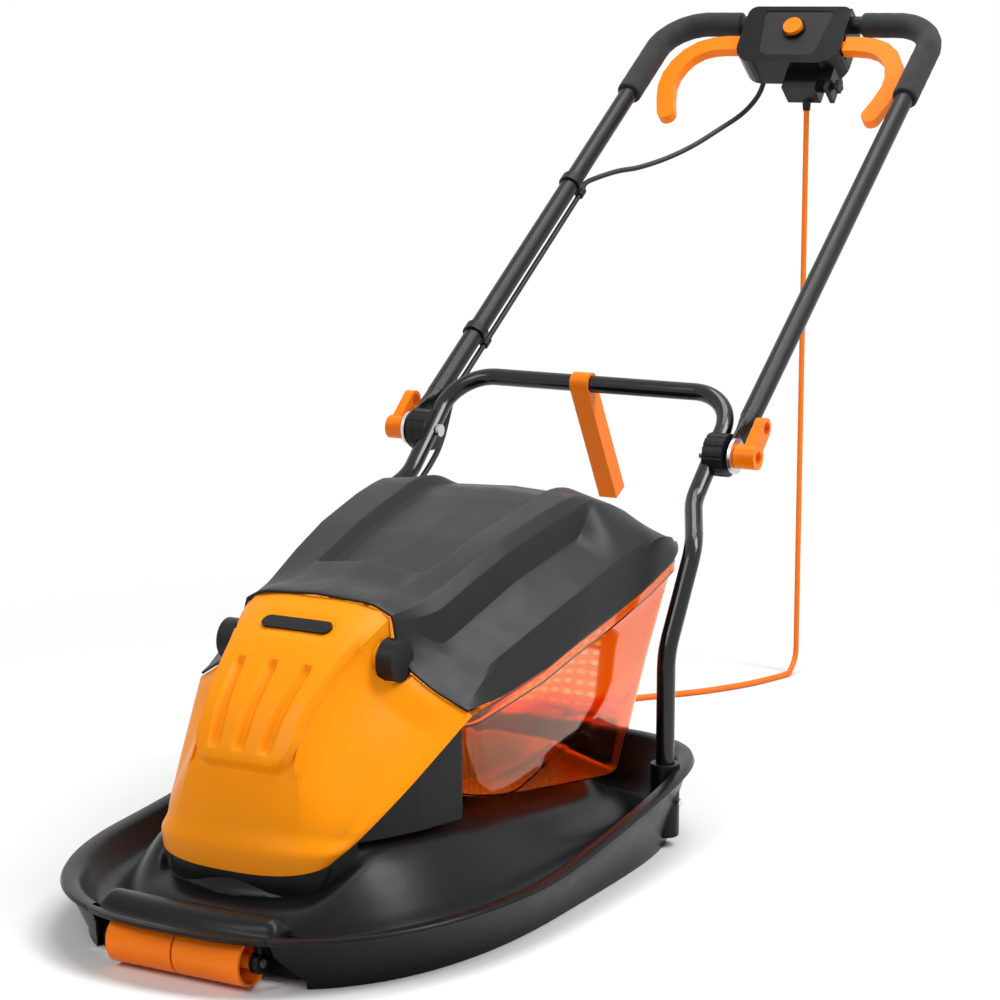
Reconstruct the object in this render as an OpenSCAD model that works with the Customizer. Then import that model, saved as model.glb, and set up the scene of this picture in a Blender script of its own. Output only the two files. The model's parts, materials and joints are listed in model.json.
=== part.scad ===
// Hover mower with a lift-lid grass box, front rollers and a folding U handle

/* [Deck] */
// Width of the deck over its rim
deck_width = 474; // [420:540]
// Length of the deck over its rim
deck_length = 700; // [640:780]
// Reach of the rim in front of the roller axle
front_reach = 32; // [24:50]
// Height of the rim at the front
rim_front = 52; // [44:64]
// Height of the rim at the rear
rim_rear = 84; // [60:100]
// Height of the gutter floor inside the rim
gutter_floor = 26; // [16:36]
// Height of the flat top of the dome
dome_height = 100; // [90:115]
// Distance from the rim to the flat top of the dome
dome_inset = 132; // [110:150]
// Wall of the deck moulding
deck_wall = 3; // [2:4]
// Height of the bead that the deck rests on
foot_height = 6; // [4:10]
// Width of the bead that the deck rests on
foot_width = 6; // [4:10]

/* [Rollers] */
// Radius of a front roller
roller_radius = 23; // [18:26]
// Height of the roller axle
axle_height = 24.5; // [20:30]
// Radius of the roller axle
axle_radius = 4; // [3:6]
// Length of one roller
roller_length = 70; // [50:90]
// Wall of a roller
roller_wall = 3; // [2:5]
// Thickness of an arm that holds the axle
arm_thickness = 8; // [5:12]
// Height of the bar over the rollers
bar_top = 62; // [56:70]
// Wall of the bar over the rollers
bar_wall = 3; // [2:5]

/* [Hood and lid] */
// Rise of the hood from its front edge to the lid
hood_rise = 213; // [180:240]
// Run of the hood from its front edge to the lid
hood_run = 162; // [140:190]
// Front edge of the hood behind the roller axle
hood_front = 64; // [50:80]
// Height of the front edge of the hood
hood_foot = 78; // [70:90]
// Half width of the hood at its wing tips
hood_half = 155; // [140:170]
// Wall of the hood
hood_wall = 3.5; // [2.5:5]
// Step of the raised middle panel
panel_step = 4; // [2:6]
// Radius of the three grooves
groove_radius = 6.5; // [4:9]
// Depth of the three grooves
groove_depth = 4; // [2:6]
// Length of the bare badge plate
badge_length = 76; // [60:90]
// Height of the bare badge plate
badge_height = 16; // [12:22]
// Thickness of the bare badge plate
badge_thickness = 2; // [1:3]
// Length of the lid from its front edge
lid_length = 440; // [400:470]
// Half width of the lid at its flange
lid_half = 166; // [150:180]
// Wall of the lid
lid_wall = 3; // [2:4]
// Depth of the sunk middle of the lid
lid_sink = 6; // [3:9]
// Depth of the long channel at each side of the lid
lid_channel = 22; // [10:30]
// Radius of a hinge cap of the lid
cap_radius = 20; // [16:24]
// Thickness of a hinge cap of the lid
cap_thickness = 17; // [12:20]
// Radius of a hinge pin of the lid
hinge_pin_radius = 4; // [3:6]

/* [Grass box] */
// Half width of the box under its rim
box_half = 160; // [140:170]
// Length of the box at its rim
box_length = 398; // [360:430]
// Wall of the box
box_wall = 2.5; // [2:4]
// Height of the rim ledge of the box
ledge_height = 9; // [6:14]
// Width of a slot in the rear wall of the box
vent_width = 5; // [3:8]

/* [Handle] */
// Radius of the lower handle tube
lower_radius = 9.5; // [8:12]
// Radius of the upper handle tube
upper_radius = 11; // [9:13]
// Wall of both handle tubes
tube_wall = 1.5; // [1:2.5]
// Half spacing of the two legs
leg_half = 200; // [185:215]
// Bend radius at the ends of the crossbar
crossbar_bend = 50; // [40:90]
// Bend radius of the upper corners
corner_bend = 55; // [40:80]
// Radius of a foam grip
foam_radius = 15.5; // [13:18]
// Height of the top bar
grip_height = 819; // [760:900]
// Radius of the pivot bolts
bolt_radius = 4; // [3:5]
// Radius of a ratchet disc
ratchet_radius = 23; // [18:28]
// Thickness of the flattened tube ends
flat_thickness = 5; // [4:7]
// Radius of a clamp washer
washer_radius = 19; // [14:24]
// Radius of the boss of a clamp knob
knob_radius = 13; // [10:16]
// Length of the loop of a clamp knob
knob_reach = 40; // [30:50]

/* [Switch box] */
// Half width of the switch box
switch_half = 69; // [58:80]
// Length of the switch box along the handle
switch_length = 88; // [64:100]
// Height of the switch box above the bar
switch_rise = 19; // [16:34]
// Depth of the switch box below the bar
switch_drop = 24; // [18:30]
// Wall of the switch box
switch_wall = 2.5; // [2:4]
// Radius of the start button
button_radius = 12; // [9:15]
// Travel of the start button
button_travel = 4; // [3:6]
// Width of a lever
lever_width = 22; // [16:28]
// Thickness of a lever
lever_thickness = 13; // [9:16]
// Wall of a lever
lever_wall = 2.5; // [2:4]
// Angle of a lever away from the bar at rest
lever_rest = -3; // [-6:4]

/* [Motor and blade] */
// Radius of the blade circle
blade_radius = 165; // [150:170]
// Width of the blade
blade_width = 44; // [36:56]
// Thickness of the blade
blade_thickness = 3; // [2:4]
// Height of the blade
blade_level = 31; // [28:36]
// Radius of the fan
fan_radius = 112; // [90:118]
// Radius of the motor can
motor_radius = 41; // [36:44]
// Height of the motor can
motor_height = 112; // [90:116]
// Radius of the motor shaft
shaft_radius = 6; // [5:8]

/* [Mains lead] */
// Radius of the mains lead
lead_radius = 3.5; // [3:4]
// Radius of the switch cable
cable_radius = 3.2; // [2.5:4]
// Number of layers of the coil
coil_layers = 4; // [3:6]
// Number of turns in one layer of the coil
coil_turns = 6; // [4:8]
// Middle radius of the innermost turn of the coil
coil_inner = 34; // [30:60]

/* [Fits] */
// Gap of a running fit, measured on the radius
run_fit = 0.05; // [0.02:0.01:0.1]
// Gap between pieces that stay together
seat_gap = 0.3; // [0.1:0.1:0.6]
// Gap between pieces that move past each other
move_gap = 1; // [0.5:0.1:2]
// Overrun of every cut
over = 2; // [1:4]

/* [Hidden] */
$fn = 40;

// Middle of the deck along the machine
deck_mid = deck_length / 2 - front_reach;
// Middle of the whole machine along its length
bar_back = 1342;
y_mid = (bar_back + foam_radius - front_reach) / 2;
deck_steps = 48;
plan_front_power = 2.5;
plan_rear_power = 4.4;
// Overlap of a straight run with a bend, and the step between them
bend_lap = 1.5;
bend_skin = 0.06;

// General shape functions
function sgn(v) = v < 0 ? -1 : 1;
function mix(a, b, t) = a + (b - a) * t;
function unit(v) = v / norm(v);
function ramp(t) = let (u = min(1, max(0, t))) u * u * (3 - 2 * u);
function flat(g) = [for (row = g) for (p = row) p];
function spline(tab, t) =
    let (n = len(tab) - 1, k = min(n - 1, floor(t * n)), f = t * n - k,
        a = tab[max(0, k - 1)], b = tab[k], c = tab[k + 1], d = tab[min(n, k + 2)])
    0.5 * (2 * b + f * (c - a) + f * f * (2 * a - 5 * b + 4 * c - d)
        + f * f * f * (3 * b - a - 3 * c + d));
function grid_normal(g, s, i) =
    let (rows = len(g) - 1, cols = len(g[0]) - 1,
        along = g[min(rows, s + 1)][i] - g[max(0, s - 1)][i],
        across = g[s][min(cols, i + 1)] - g[s][max(0, i - 1)])
    unit(cross(across, along));
function grid_inset(g, depth) =
    [for (s = [0 : len(g) - 1]) [for (i = [0 : len(g[0]) - 1]) g[s][i] - depth * grid_normal(g, s, i)]];

// Thick sheet between two grids of points
module sheet(outer, inner) {
    rows = len(outer);
    cols = len(outer[0]);
    m = rows * cols;
    faces = concat(
        [for (s = [0 : rows - 2]) for (i = [0 : cols - 2])
            let (a = s * cols + i, d = a + cols) each [[a, d, d + 1], [a, d + 1, a + 1]]],
        [for (s = [0 : rows - 2]) for (i = [0 : cols - 2])
            let (a = m + s * cols + i, d = a + cols) each [[a, d + 1, d], [a, a + 1, d + 1]]],
        [for (i = [0 : cols - 2]) let (a = i, p = m + i) each [[a, a + 1, p + 1], [a, p + 1, p]]],
        [for (i = [0 : cols - 2]) let (d = m - cols + i, q = d + m) each [[d + 1, d, q], [d + 1, q, q + 1]]],
        [for (s = [0 : rows - 2]) let (a = s * cols, d = a + cols) each [[d, a, a + m], [d, a + m, d + m]]],
        [for (s = [0 : rows - 2]) let (b = s * cols + cols - 1, c = b + cols)
            each [[b, c, c + m], [b, c + m, b + m]]]);
    polyhedron(points = concat(flat(outer), flat(inner)), faces = faces, convexity = 8);
}

// Closed body through rings, with a flat cap on the first and the last ring
module rings(list) {
    n = len(list[0]);
    last = (len(list) - 1) * n;
    faces = concat(
        [for (k = [0 : len(list) - 2]) for (i = [0 : n - 1])
            let (a = k * n + i, b = k * n + (i + 1) % n, c = b + n, d = a + n) each [[a, b, c], [a, c, d]]],
        [for (i = [1 : n - 2]) [0, i + 1, i]],
        [for (i = [1 : n - 2]) [last, last + i, last + i + 1]]);
    polyhedron(points = flat(list), faces = faces, convexity = 10);
}

// Round cord through a list of points
function cord_ring(pts, k, r, sides, lead) =
    let (t = unit(pts[min(len(pts) - 1, k + 1)] - pts[max(0, k - 1)]), u = unit(cross(lead, t)),
        w = cross(u, t))
    [for (j = [0 : sides - 1]) pts[k] + r * (cos(360 * j / sides) * u + sin(360 * j / sides) * w)];
module cord(pts, r, sides, lead) {
    rings([for (k = [0 : len(pts) - 1]) cord_ring(pts, k, r, sides, lead)]);
}

// Frame whose Z axis runs along a direction
module along(p, d) {
    z = unit(d);
    ref = abs(z.x) < 0.9 ? [1, 0, 0] : [0, 1, 0];
    x = unit(cross(ref, z));
    y = cross(z, x);
    multmatrix([[x.x, y.x, z.x, p.x], [x.y, y.y, z.y, p.y], [x.z, y.z, z.z, p.z], [0, 0, 0, 1]]) children();
}
module rod(p, q, r) {
    along(p, q - p) cylinder(r = r, h = norm(q - p));
}
// Rod along X between two places, at a height and a depth
module bar_x(x0, x1, y, z, r) {
    translate([x0, y, z]) rotate([0, 90, 0]) cylinder(r = r, h = x1 - x0);
}
module both() {
    children();
    mirror([1, 0, 0]) children();
}
module block(a, b) {
    translate(a) cube(b - a);
}
module rounded(x0, y0, x1, y1, r) {
    translate([x0 + r, y0]) square([x1 - x0 - 2 * r, y1 - y0]);
    translate([x0, y0 + r]) square([x1 - x0, y1 - y0 - 2 * r]);
    for (x = [x0 + r, x1 - r]) for (y = [y0 + r, y1 - r]) translate([x, y]) circle(r);
}

// Bent round tube with straight runs and true bends
function turn_tan(p, k, bend) =
    let (a = unit(p[k] - p[k - 1]), b = unit(p[k + 1] - p[k])) bend[k] * tan(acos(a * b) / 2);
function reach_of(p, k, bend) = k == 0 || k == len(p) - 1 ? 0 : turn_tan(p, k, bend);
module bent_rod(p, bend, r) {
    for (k = [0 : len(p) - 2]) {
        d = unit(p[k + 1] - p[k]);
        from = p[k] + d * (k == 0 ? 0 : reach_of(p, k, bend) - bend_lap);
        to = p[k + 1] - d * (k == len(p) - 2 ? 0 : reach_of(p, k + 1, bend) - bend_lap);
        along(from, d) cylinder(r = r, h = norm(to - from));
    }
    for (k = [1 : len(p) - 2]) {
        a = unit(p[k] - p[k - 1]);
        b = unit(p[k + 1] - p[k]);
        n = unit(cross(a, b));
        e = -cross(n, a);
        c = p[k] - a * turn_tan(p, k, bend) - e * bend[k];
        multmatrix([[e.x, a.x, n.x, c.x], [e.y, a.y, n.y, c.y], [e.z, a.z, n.z, c.z], [0, 0, 0, 1]])
            rotate_extrude(angle = acos(a * b)) translate([bend[k], 0]) circle(r - bend_skin);
    }
}
function longer(p) = let (n = len(p) - 1) [for (k = [0 : n])
    k == 0 ? p[0] + unit(p[0] - p[1]) * over : k == n ? p[n] + unit(p[n] - p[n - 1]) * over : p[k]];
module bent_tube(p, bend, r, bore) {
    difference() {
        bent_rod(p, bend, r);
        bent_rod(longer(p), bend, bore);
    }
}

module place() {
    translate([0, -y_mid, 0]) children();
}

// Deck outline, its rim and its dome
function plan_point(a, inset) =
    let (c = cos(a), s = sin(a), n = s < 0 ? plan_front_power : plan_rear_power)
    [(deck_width / 2 - inset) * sgn(c) * pow(abs(c), 2 / n),
        deck_mid + (deck_length / 2 - inset) * sgn(s) * pow(abs(s), 2 / n)];
function deck_share(y) = (y + front_reach) / deck_length;
function rim_level(y) = mix(rim_front, rim_rear, ramp((deck_share(y) - 0.35) / 0.55));
function dome_fall(y) = 1 - 0.3 * ramp((deck_share(y) - 0.3) / 0.5);
// Rows from the dome to the foot: inset, share of the dome, of the rim and of the gutter
deck_shares = [
    [1.00, 1.00, 0.00, 0.00, 0], [0.93, 0.99, 0.00, 0.00, 0.5], [0.82, 0.95, 0.00, 0.00, 0.9],
    [0.70, 0.85, 0.00, 0.00, 1], [0.58, 0.66, 0.00, 0.00, 1], [0.47, 0.36, 0.00, 0.36, 0.6],
    [0.40, 0.10, 0.00, 0.80, 0], [0.34, 0.00, 0.00, 1.00, 0], [0.26, 0.00, 0.06, 0.96, 0],
    [0.19, 0.00, 0.55, 0.35, 0], [0.125, 0.00, 0.94, 0.00, 0], [0.085, 0.00, 1.00, 0.00, 0],
    [0.015, 0.00, 1.00, 0.00, 0], [0.00, 0.00, 0.94, 0.00, 0], [0.055, 0.00, 0.84, 0.00, 0],
    [0.13, 0.00, 0.40, 0.00, 0]];
foot_share = 0.19;
// Same rows for the underside, as inset shifts and drops in walls
under_shares = [[1, 0], [1, 0], [1.2, 0], [0, -1], [-1, -0.2], [-0.9, -0.7], [-0.6, -1],
    [0, -1], [0.3, -1], [0.5, -0.9], [0.8, -0.6], [0.8, -0.6], [0.6, -0.8], [0.3, -1], [0.1, -1], [0, -1]];
function dome_level(y, fall) = dome_height * mix(1, dome_fall(y), fall);
function deck_row(row, shift, drop) =
    [for (k = [0 : deck_steps - 1])
        let (p = plan_point(360 * k / deck_steps, row[0] * dome_inset + shift))
        [p.x, p.y, row[1] * dome_level(p.y, row[4]) + row[2] * rim_level(p.y)
        + row[3] * gutter_floor + drop]];
function foot_row(shift) =
    [for (k = [0 : deck_steps - 1])
        let (p = plan_point(360 * k / deck_steps, foot_share * dome_inset + shift)) [p.x, p.y,
        foot_height / 2]];
deck_rows = concat(
    [for (row = deck_shares) deck_row(row, 0, 0)],
    [foot_row(0), foot_row(deck_wall)],
    [for (k = [0 : len(deck_shares) - 1])
        let (row = deck_shares[len(deck_shares) - 1 - k], u = under_shares[k])
        deck_row(row, u[0] * deck_wall, u[1] * deck_wall)]);

// Handle places
leg_back = 555;
leg_top = 200;
leg_knee = [618, 300];
leg_join = [672, 335];
joint_half = 173;
pivot_back = 719;
pivot_height = 380;
crossbar_back = 779;
crossbar_height = 434;
leg_foot = 22;
leg_bend = 60;
socket_radius = 15;
socket_top = 86;
socket_foot = 10;
axis_y = 202;
axis_z_gap = 0.3;
notch_half = 96;
notch_back = 31;
notch_top = 90;
notch_foot = 114;
notch_knee = 34;
pocket_wall = 3;
pocket_top = 50;
plate_top = 5;
deck_bore = 16;

module deck() color("#1c1c1e") place() {
    difference() {
        union() {
            difference() {
                rings(deck_rows);
                notch();
            }
            difference() {
                foot_ring(foot_height);
                notch();
            }
            block([-notch_foot, notch_back, foot_height / 2], [notch_foot, notch_back + pocket_wall,
            pocket_top]);
            both() translate([leg_half, leg_back, socket_foot])
                cylinder(r = socket_radius, h = socket_top - socket_foot);
        }
        both() translate([leg_half, leg_back, leg_foot])
            cylinder(r = lower_radius + seat_gap / 2, h = socket_top);
        both() bar_x(leg_half, leg_half + 3 * socket_radius, leg_back, screw_level,
        screw_radius + seat_gap / 2);
        translate([0, axis_y, dome_height - 3 * deck_wall]) cylinder(r = deck_bore, h = 6 * deck_wall);
        both() translate([post_x, post_y, dome_height - 3 * deck_wall])
            cylinder(r = hood_screw_radius + seat_gap / 2, h = 6 * deck_wall);
    }
}
module notch() {
    translate([0, notch_back, 0]) rotate([90, 0, 0]) linear_extrude(height = notch_back + 2 * front_reach)
        polygon([[-notch_foot, -over], [notch_foot, -over], [notch_foot, foot_height], [notch_half,
        notch_knee],
            [notch_half, notch_top], [-notch_half, notch_top], [-notch_half, notch_knee], [-notch_foot,
            foot_height]]);
}
// Solid up to the upper face of the dome, for what stands on it
module dome_body(raise) {
    rings([for (k = [0 : 7]) deck_row(deck_shares[k], 0, raise)]);
}
module foot_ring(h) {
    linear_extrude(height = h) difference() {
        polygon([for (k = [0 : deck_steps - 1])
            plan_point(360 * k / deck_steps, foot_share * dome_inset - (foot_width - deck_wall) / 2)]);
        polygon([for (k = [0 : deck_steps - 1])
            plan_point(360 * k / deck_steps, foot_share * dome_inset + (foot_width + deck_wall) / 2)]);
    }
}

// Bar over the rollers with the arms of the axle
bar_half = notch_half - seat_gap;
arm_half = 10;
arm_front_share = 0.3;
bar_steps = 12;
bar_rear = 1.5;
bar_depth = notch_back - bar_rear;
// Rows across the bar: share from the rim to the rear edge, share of its height
bar_shares = [[0.07, -0.62], [0.0, -0.12], [0.015, 0], [0.17, 0], [0.25, -0.35], [0.36, -0.15], [0.45,
    0.5], [0.56, 0.9],
    [0.7, 1], [0.83, 0.82], [0.93, 0.35], [1, -0.35]];
function bar_front(x) = deck_mid - deck_length / 2 * pow(1 - pow(abs(2 * x / deck_width),
    plan_front_power), 1 / plan_front_power);
function bar_point_at(x, s) = [x, mix(bar_front(x), bar_depth, s[0]),
    rim_front + s[1] * (bar_top - rim_front)];
bar_grid = [for (s = bar_shares) [for (k = [0 : bar_steps])
    bar_point_at(bar_half * (2 * k / bar_steps - 1), s)]];
module front_bar() color("#202022") place() {
    difference() {
        union() {
            sheet(bar_grid, grid_inset(bar_grid, bar_wall));
            both() {
                block([arm_in, -arm_front_share * arm_half, axle_height], [arm_in + arm_thickness,
                arm_half, bar_top - 1.6 * bar_wall]);
                bar_x(arm_in, arm_in + arm_thickness, 0, axle_height, arm_half);
            }
        }
        bar_x(-bar_half, bar_half, 0, axle_height, axle_radius + seat_gap / 4);
    }
}
arm_in = roller_length + 4 * move_gap;
module roller_axle() color("#8d9094") place() {
    bar_x(-arm_in - arm_thickness - move_gap, arm_in + arm_thickness + move_gap, 0, axle_height, axle_radius);
}
hub_radius = 7;
web_place_share = 0.5;
module roller() {
    translate([move_gap, 0, axle_height]) rotate([0, 90, 0]) rotate_extrude() {
        translate([roller_radius - roller_wall, 0]) square([roller_wall, roller_length]);
        translate([axle_radius + run_fit, 0]) square([hub_radius - axle_radius - run_fit, roller_length]);
        translate([axle_radius + run_fit, roller_length * web_place_share])
            square([roller_radius - axle_radius - run_fit - roller_wall / 2, roller_wall]);
    }
}
module roller_right() color("#f47a10") place() roller();
module roller_left() color("#f47a10") place() mirror([1, 0, 0]) roller();

// Hood surface: a spine up the middle and a lower edge along each side
spine_shares = [[0.00, 0.00], [0.012, 0.127], [0.05, 0.291], [0.136, 0.469], [0.296, 0.648], [0.512, 0.793],
    [0.759, 0.911], [1.04, 1.015]];
edge_shares = [[0.587, 0.235, 0.056], [0.645, 0.315, 0.103], [0.70, 0.407, 0.16], [0.755, 0.531, 0.23],
    [0.82, 0.685, 0.319], [0.885, 0.852, 0.418], [0.945, 1.006, 0.512], [1.00, 1.148, 0.596]];
panel_shares = [0.31, 0.31, 0.315, 0.335, 0.37, 0.40, 0.435, 0.465];
panel_across_shares = [0, 0.35, 0.7, 0.93, 1];
wing_across_shares = [0.1, 0.28, 0.5, 0.75, 1];
hood_steps = 20;
hood_nose_share = 0.035;
hood_crown = 10;
bulge_front_share = 0.06;
bulge_rear_share = -0.17;
function hood_pt(u, v, raise) =
    let (sp = spline(spine_shares, u), ed = spline(edge_shares, u), hw = spline(panel_shares, u) * hood_half,
        y = hood_front + sp[0] * hood_run, z = hood_foot + sp[1] * hood_rise,
        b = [ed[0] * hood_half, hood_front + ed[1] * hood_run, hood_foot + ed[2] * hood_rise],
        a = [hw, y + (1 - u) * hood_nose_share * hood_run, z], av = abs(v), t = max(0, av - 1),
        out = unit(mix([0.6, -0.8, 0.1], [0.9, 0.42, 0.1], u)),
        bulge = hood_half * mix(bulge_front_share, bulge_rear_share, u * u),
        q = av <= 1 ? [hw * av, mix(y, a.y, av * av),
        z + hood_crown * u * u * (1 - av * av * av)] : mix(a, b, t) + out * sin(180 * t) * bulge,
        up = raise * ramp((u - 0.25) / 0.06) * (av < 1 ? 1 : 0),
        sl = spline(spine_shares, min(1, u + 0.03)) - spline(spine_shares, max(0, u - 0.03)),
        nn = unit([0, -sl[1] * hood_rise, sl[0] * hood_run]))
    [sgn(v) * q.x, q.y, q.z] + up * nn;
hood_half_v = concat(panel_across_shares, [for (t = wing_across_shares) 1 + t]);
hood_v = concat([for (k = [len(hood_half_v) - 1 : -1 : 1]) -hood_half_v[k]], hood_half_v);
function hood_grid(raise, n, u1) = [for (s = [0 : n]) [for (v = hood_v) hood_pt(u1 * s / n, v, raise)]];
hinge_back = 212;
hinge_height = 252;
cap_in = 80;
boss_in = 58;
boss_share = 0.9;
groove_end = 0.25;
groove_low_share = 0.46;
groove_high_share = 0.70;
groove_fan_low = 27;
groove_fan_high = 36;
post_radius = 7;
post_x = 42;
post_y = 128;
post_top = 231;
hood_screw_radius = 2.5;
badge_share = 0.853;

module groove(x0, x1) {
    sink = panel_step - groove_depth + groove_radius;
    p = hood_pt(groove_low_share, 0, sink) + [x0, 0, 0];
    q = hood_pt(groove_high_share, 0, sink) + [x1, 0, 0];
    m = hood_pt((groove_low_share + groove_high_share) / 2, 0, sink) + [(x0 + x1) / 2, 0, 0];
    rod(p, m, groove_radius);
    rod(m, q, groove_radius);
    for (e = [p, m, q]) translate(e) sphere(groove_radius + groove_end);
}
module badge_frame() {
    p = hood_pt(badge_share, 0, panel_step);
    sl = spline(spine_shares, badge_share + 0.03) - spline(spine_shares, badge_share - 0.03);
    translate(p) rotate([atan2(sl[1] * hood_rise, sl[0] * hood_run), 0, 0]) children();
}
module badge_outline(grow) {
    r = badge_height / 2 + grow;
    flat_half = badge_length / 2 - badge_height / 2;
    translate([-flat_half, -r]) square([2 * flat_half, 2 * r]);
    for (x = [-flat_half, flat_half]) translate([x, 0]) circle(r);
}
module hood() color("#f58a0c") place() {
    difference() {
        union() {
            sheet(hood_grid(panel_step, hood_steps, hood_end), grid_inset(hood_grid(0, hood_steps,
            hood_end), hood_wall));
            both() bar_x(boss_in, cap_in - move_gap, hinge_back, hinge_height, boss_share * cap_radius);
            both() translate([post_x, post_y, dome_height + seat_gap])
                cylinder(r = post_radius, h = post_top - dome_height - seat_gap);
        }
        groove(0, 0);
        both() groove(groove_fan_low, groove_fan_high);
        badge_frame() translate([0, 0, -badge_thickness]) linear_extrude(height = 4 * badge_thickness)
            badge_outline(seat_gap / 2);
        dome_body(seat_gap);
        both() bar_x(cap_in - move_gap, lid_half, hinge_back, hinge_height, cap_radius + move_gap);
        both() bar_x(boss_in - over, cap_in, hinge_back, hinge_height, hinge_pin_radius + seat_gap / 4);
        both() translate([post_x, post_y, dome_height - over])
            cylinder(r = hood_screw_radius + seat_gap / 4, h = hood_screw_depth + over);
    }
}
hood_screw_depth = 24;
// Place of the hood's rear edge as a share of its spine
hood_end = 0.952;
module badge_plate() color("#1b1b1d") place() {
    badge_frame() translate([0, 0, seat_gap / 4 - badge_thickness]) linear_extrude(height = badge_thickness)
        badge_outline(0);
}
module hood_screws() color("#9a9ca0") place() {
    both() translate([post_x, post_y, 0]) {
        translate([0, 0, dome_height - deck_wall - screw_head]) cylinder(r = 2 * hood_screw_radius,
        h = screw_head);
        translate([0, 0, dome_height - deck_wall]) cylinder(r = hood_screw_radius,
        h = hood_screw_depth - seat_gap);
    }
}
screw_head = 3;
screw_radius = 2.5;
screw_level = 46;
module leg_screws() color("#141416") place() {
    both() {
        bar_x(leg_half, leg_half + socket_radius + seat_gap, leg_back, screw_level, screw_radius);
        bar_x(leg_half + socket_radius + seat_gap, leg_half + socket_radius + screw_head, leg_back,
        screw_level,
            1.6 * screw_radius);
    }
}

// Dark surround of the motor under the hood
housing_shares = [[0.50, 0.27], [0.62, 0.40], [0.72, 0.56], [0.825, 0.79], [0.885, 1.00], [0.91, 1.10]];
housing_wall = 2.5;
housing_front = 88;
module housing_plan(inset) {
    polygon(concat(
        [for (s = housing_shares) [s[0] * hood_half - inset,
        hood_front + s[1] * hood_run + (s[1] < 0.5 ? inset : 0)]],
        [[housing_shares[5][0] * hood_half - inset, hood_front + housing_depth_share * hood_run - inset],
            [inset - housing_shares[5][0] * hood_half, hood_front + housing_depth_share * hood_run - inset]],
        [for (k = [len(housing_shares) - 1 : -1 : 0]) let (s = housing_shares[k])
            [inset - s[0] * hood_half, hood_front + s[1] * hood_run + (s[1] < 0.5 ? inset : 0)]]));
}
housing_depth_share = 1.145;
housing_open_share = 1.12;
housing_top_shares = [[0.2, 0.12], [0.41, 0.185], [0.69, 0.32], [1.0, 0.505], [1.15, 0.57], [1.25, 0.57]];
module housing_side() {
    polygon(concat([[hood_front, dome_height + seat_gap]],
        [for (s = housing_top_shares) [hood_front + s[0] * hood_run, hood_foot + s[1] * hood_rise]],
        [[hood_front + housing_top_shares[5][0] * hood_run, dome_height + seat_gap]]));
}
module motor_housing() color("#2a2a2c") place() {
    intersection() {
        linear_extrude(height = 3 * dome_height) difference() {
            housing_plan(0);
            housing_plan(housing_wall);
        }
        translate([-lid_half, 0, 0]) rotate([90, 0, 90]) linear_extrude(height = 2 * lid_half) housing_side();
        both() block([0, 0, 0], [lid_half, hood_front + housing_open_share * hood_run, lid_base]);
    }
}

// Lid: stations along the machine, points across it
lid_front = 226;
crown_shares = [0.045, 0.16, 0.43, 0.69, 0.86, 0.975, 1.0, 0.95, 0.83, 0.56, 0.14];
lid_crown = 84;
lid_base = 288;
flange_front = 204;
flange_rise = 88;
lid_steps = 17;
lid_arch = 9;
lid_arch_share = 0.5;
lid_x_shares = [0, 0.18, 0.31, 0.345, 0.43, 0.485, 0.555, 0.68, 0.82, 0.905, 0.975, 1];
lid_front_shares = [0, 0.45, 0.72, 0.8, 0.92, 1, 1.12, 1.3, 1.55, 1.75, 1.9, 2];
lid_tip_y_shares = [0, 0, 0, 0, 0, 0.005, 0.01, 0.025, 0.045, 0.06, 0.07, 0.072];
function flange_level(y) = flange_front + flange_rise * (y - lid_front - 0.06 * lid_length)
    / (0.94 * lid_length);
function lid_round(t) = 1 - 0.07 * pow(max(0, (t - 0.86) / 0.14), 2.5);
function lid_point(t, k) =
    let (y = lid_front + t * lid_length + lid_tip_y_shares[k] * lid_length * (1 - ramp(t / 0.25)),
        z = lid_base + lid_crown * spline(crown_shares, t), fl = flange_level(y),
        sink = lid_sink * ramp((t - 0.1) / 0.03) * (1 - ramp((t - 0.86) / 0.06)),
        ch = lid_channel * ramp((t - 0.02) / 0.05) * (1 - 0.85 * ramp((t - 0.78) / 0.12)),
        side = max(0, z - fl), rest = side - ch - lid_sink,
        h = [-sink, -sink, -sink, 0, -lid_sink * 0.1, -lid_sink * 0.6, -lid_sink - ch,
        -lid_sink - ch - 0.13 * rest,
            -lid_sink - ch - 0.30 * rest, -lid_sink - ch - 0.52 * rest, -0.5 * (lid_sink + ch + side)
            - 0.32 * rest, -side],
        x = lid_half * lid_x_shares[k] * lid_round(t))
    [x, y, z + h[k] + lid_arch * (1 - ramp(t / lid_arch_share)) * (1 - pow(min(1,
        lid_x_shares[k] / lid_x_shares[4]), 3))];
function lid_front_point(k) =
    let (v = lid_front_shares[k], p = hood_pt(0.955, v, panel_step), a = hood_pt(0.955, max(0, v - 0.05),
        panel_step),
        b = hood_pt(0.955, min(2, v + 0.05), panel_step), c = hood_pt(1, v, panel_step))
    p + (lid_wall + move_gap) * unit(cross(b - a, c - p));
function lid_half_row(s) = [for (k = [0 : len(lid_x_shares) - 1])
    s == 0 ? lid_front_point(k) : lid_point(mix(0.05, 1, (s - 1) / (lid_steps - 1)), k)];
function mirror_row(r) = concat([for (k = [len(r) - 1 : -1 : 1]) [-r[k].x, r[k].y, r[k].z]], r);
lid_grid = [for (s = [0 : lid_steps]) mirror_row(lid_half_row(s))];
module lid() color("#2e2e31") place() {
    difference() {
        sheet(lid_grid, grid_inset(lid_grid, lid_wall));
        both() bar_x(cap_in - 2 * move_gap, lid_half, hinge_back, hinge_height, cap_radius + seat_gap / 2);
    }
}
module hinge_caps() color("#19191b") place() {
    both() difference() {
        bar_x(cap_in, cap_in + cap_thickness, hinge_back, hinge_height, cap_radius);
        bar_x(cap_in - over, cap_in + cap_thickness - switch_wall, hinge_back, hinge_height,
        hinge_pin_radius + run_fit);
    }
}
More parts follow.
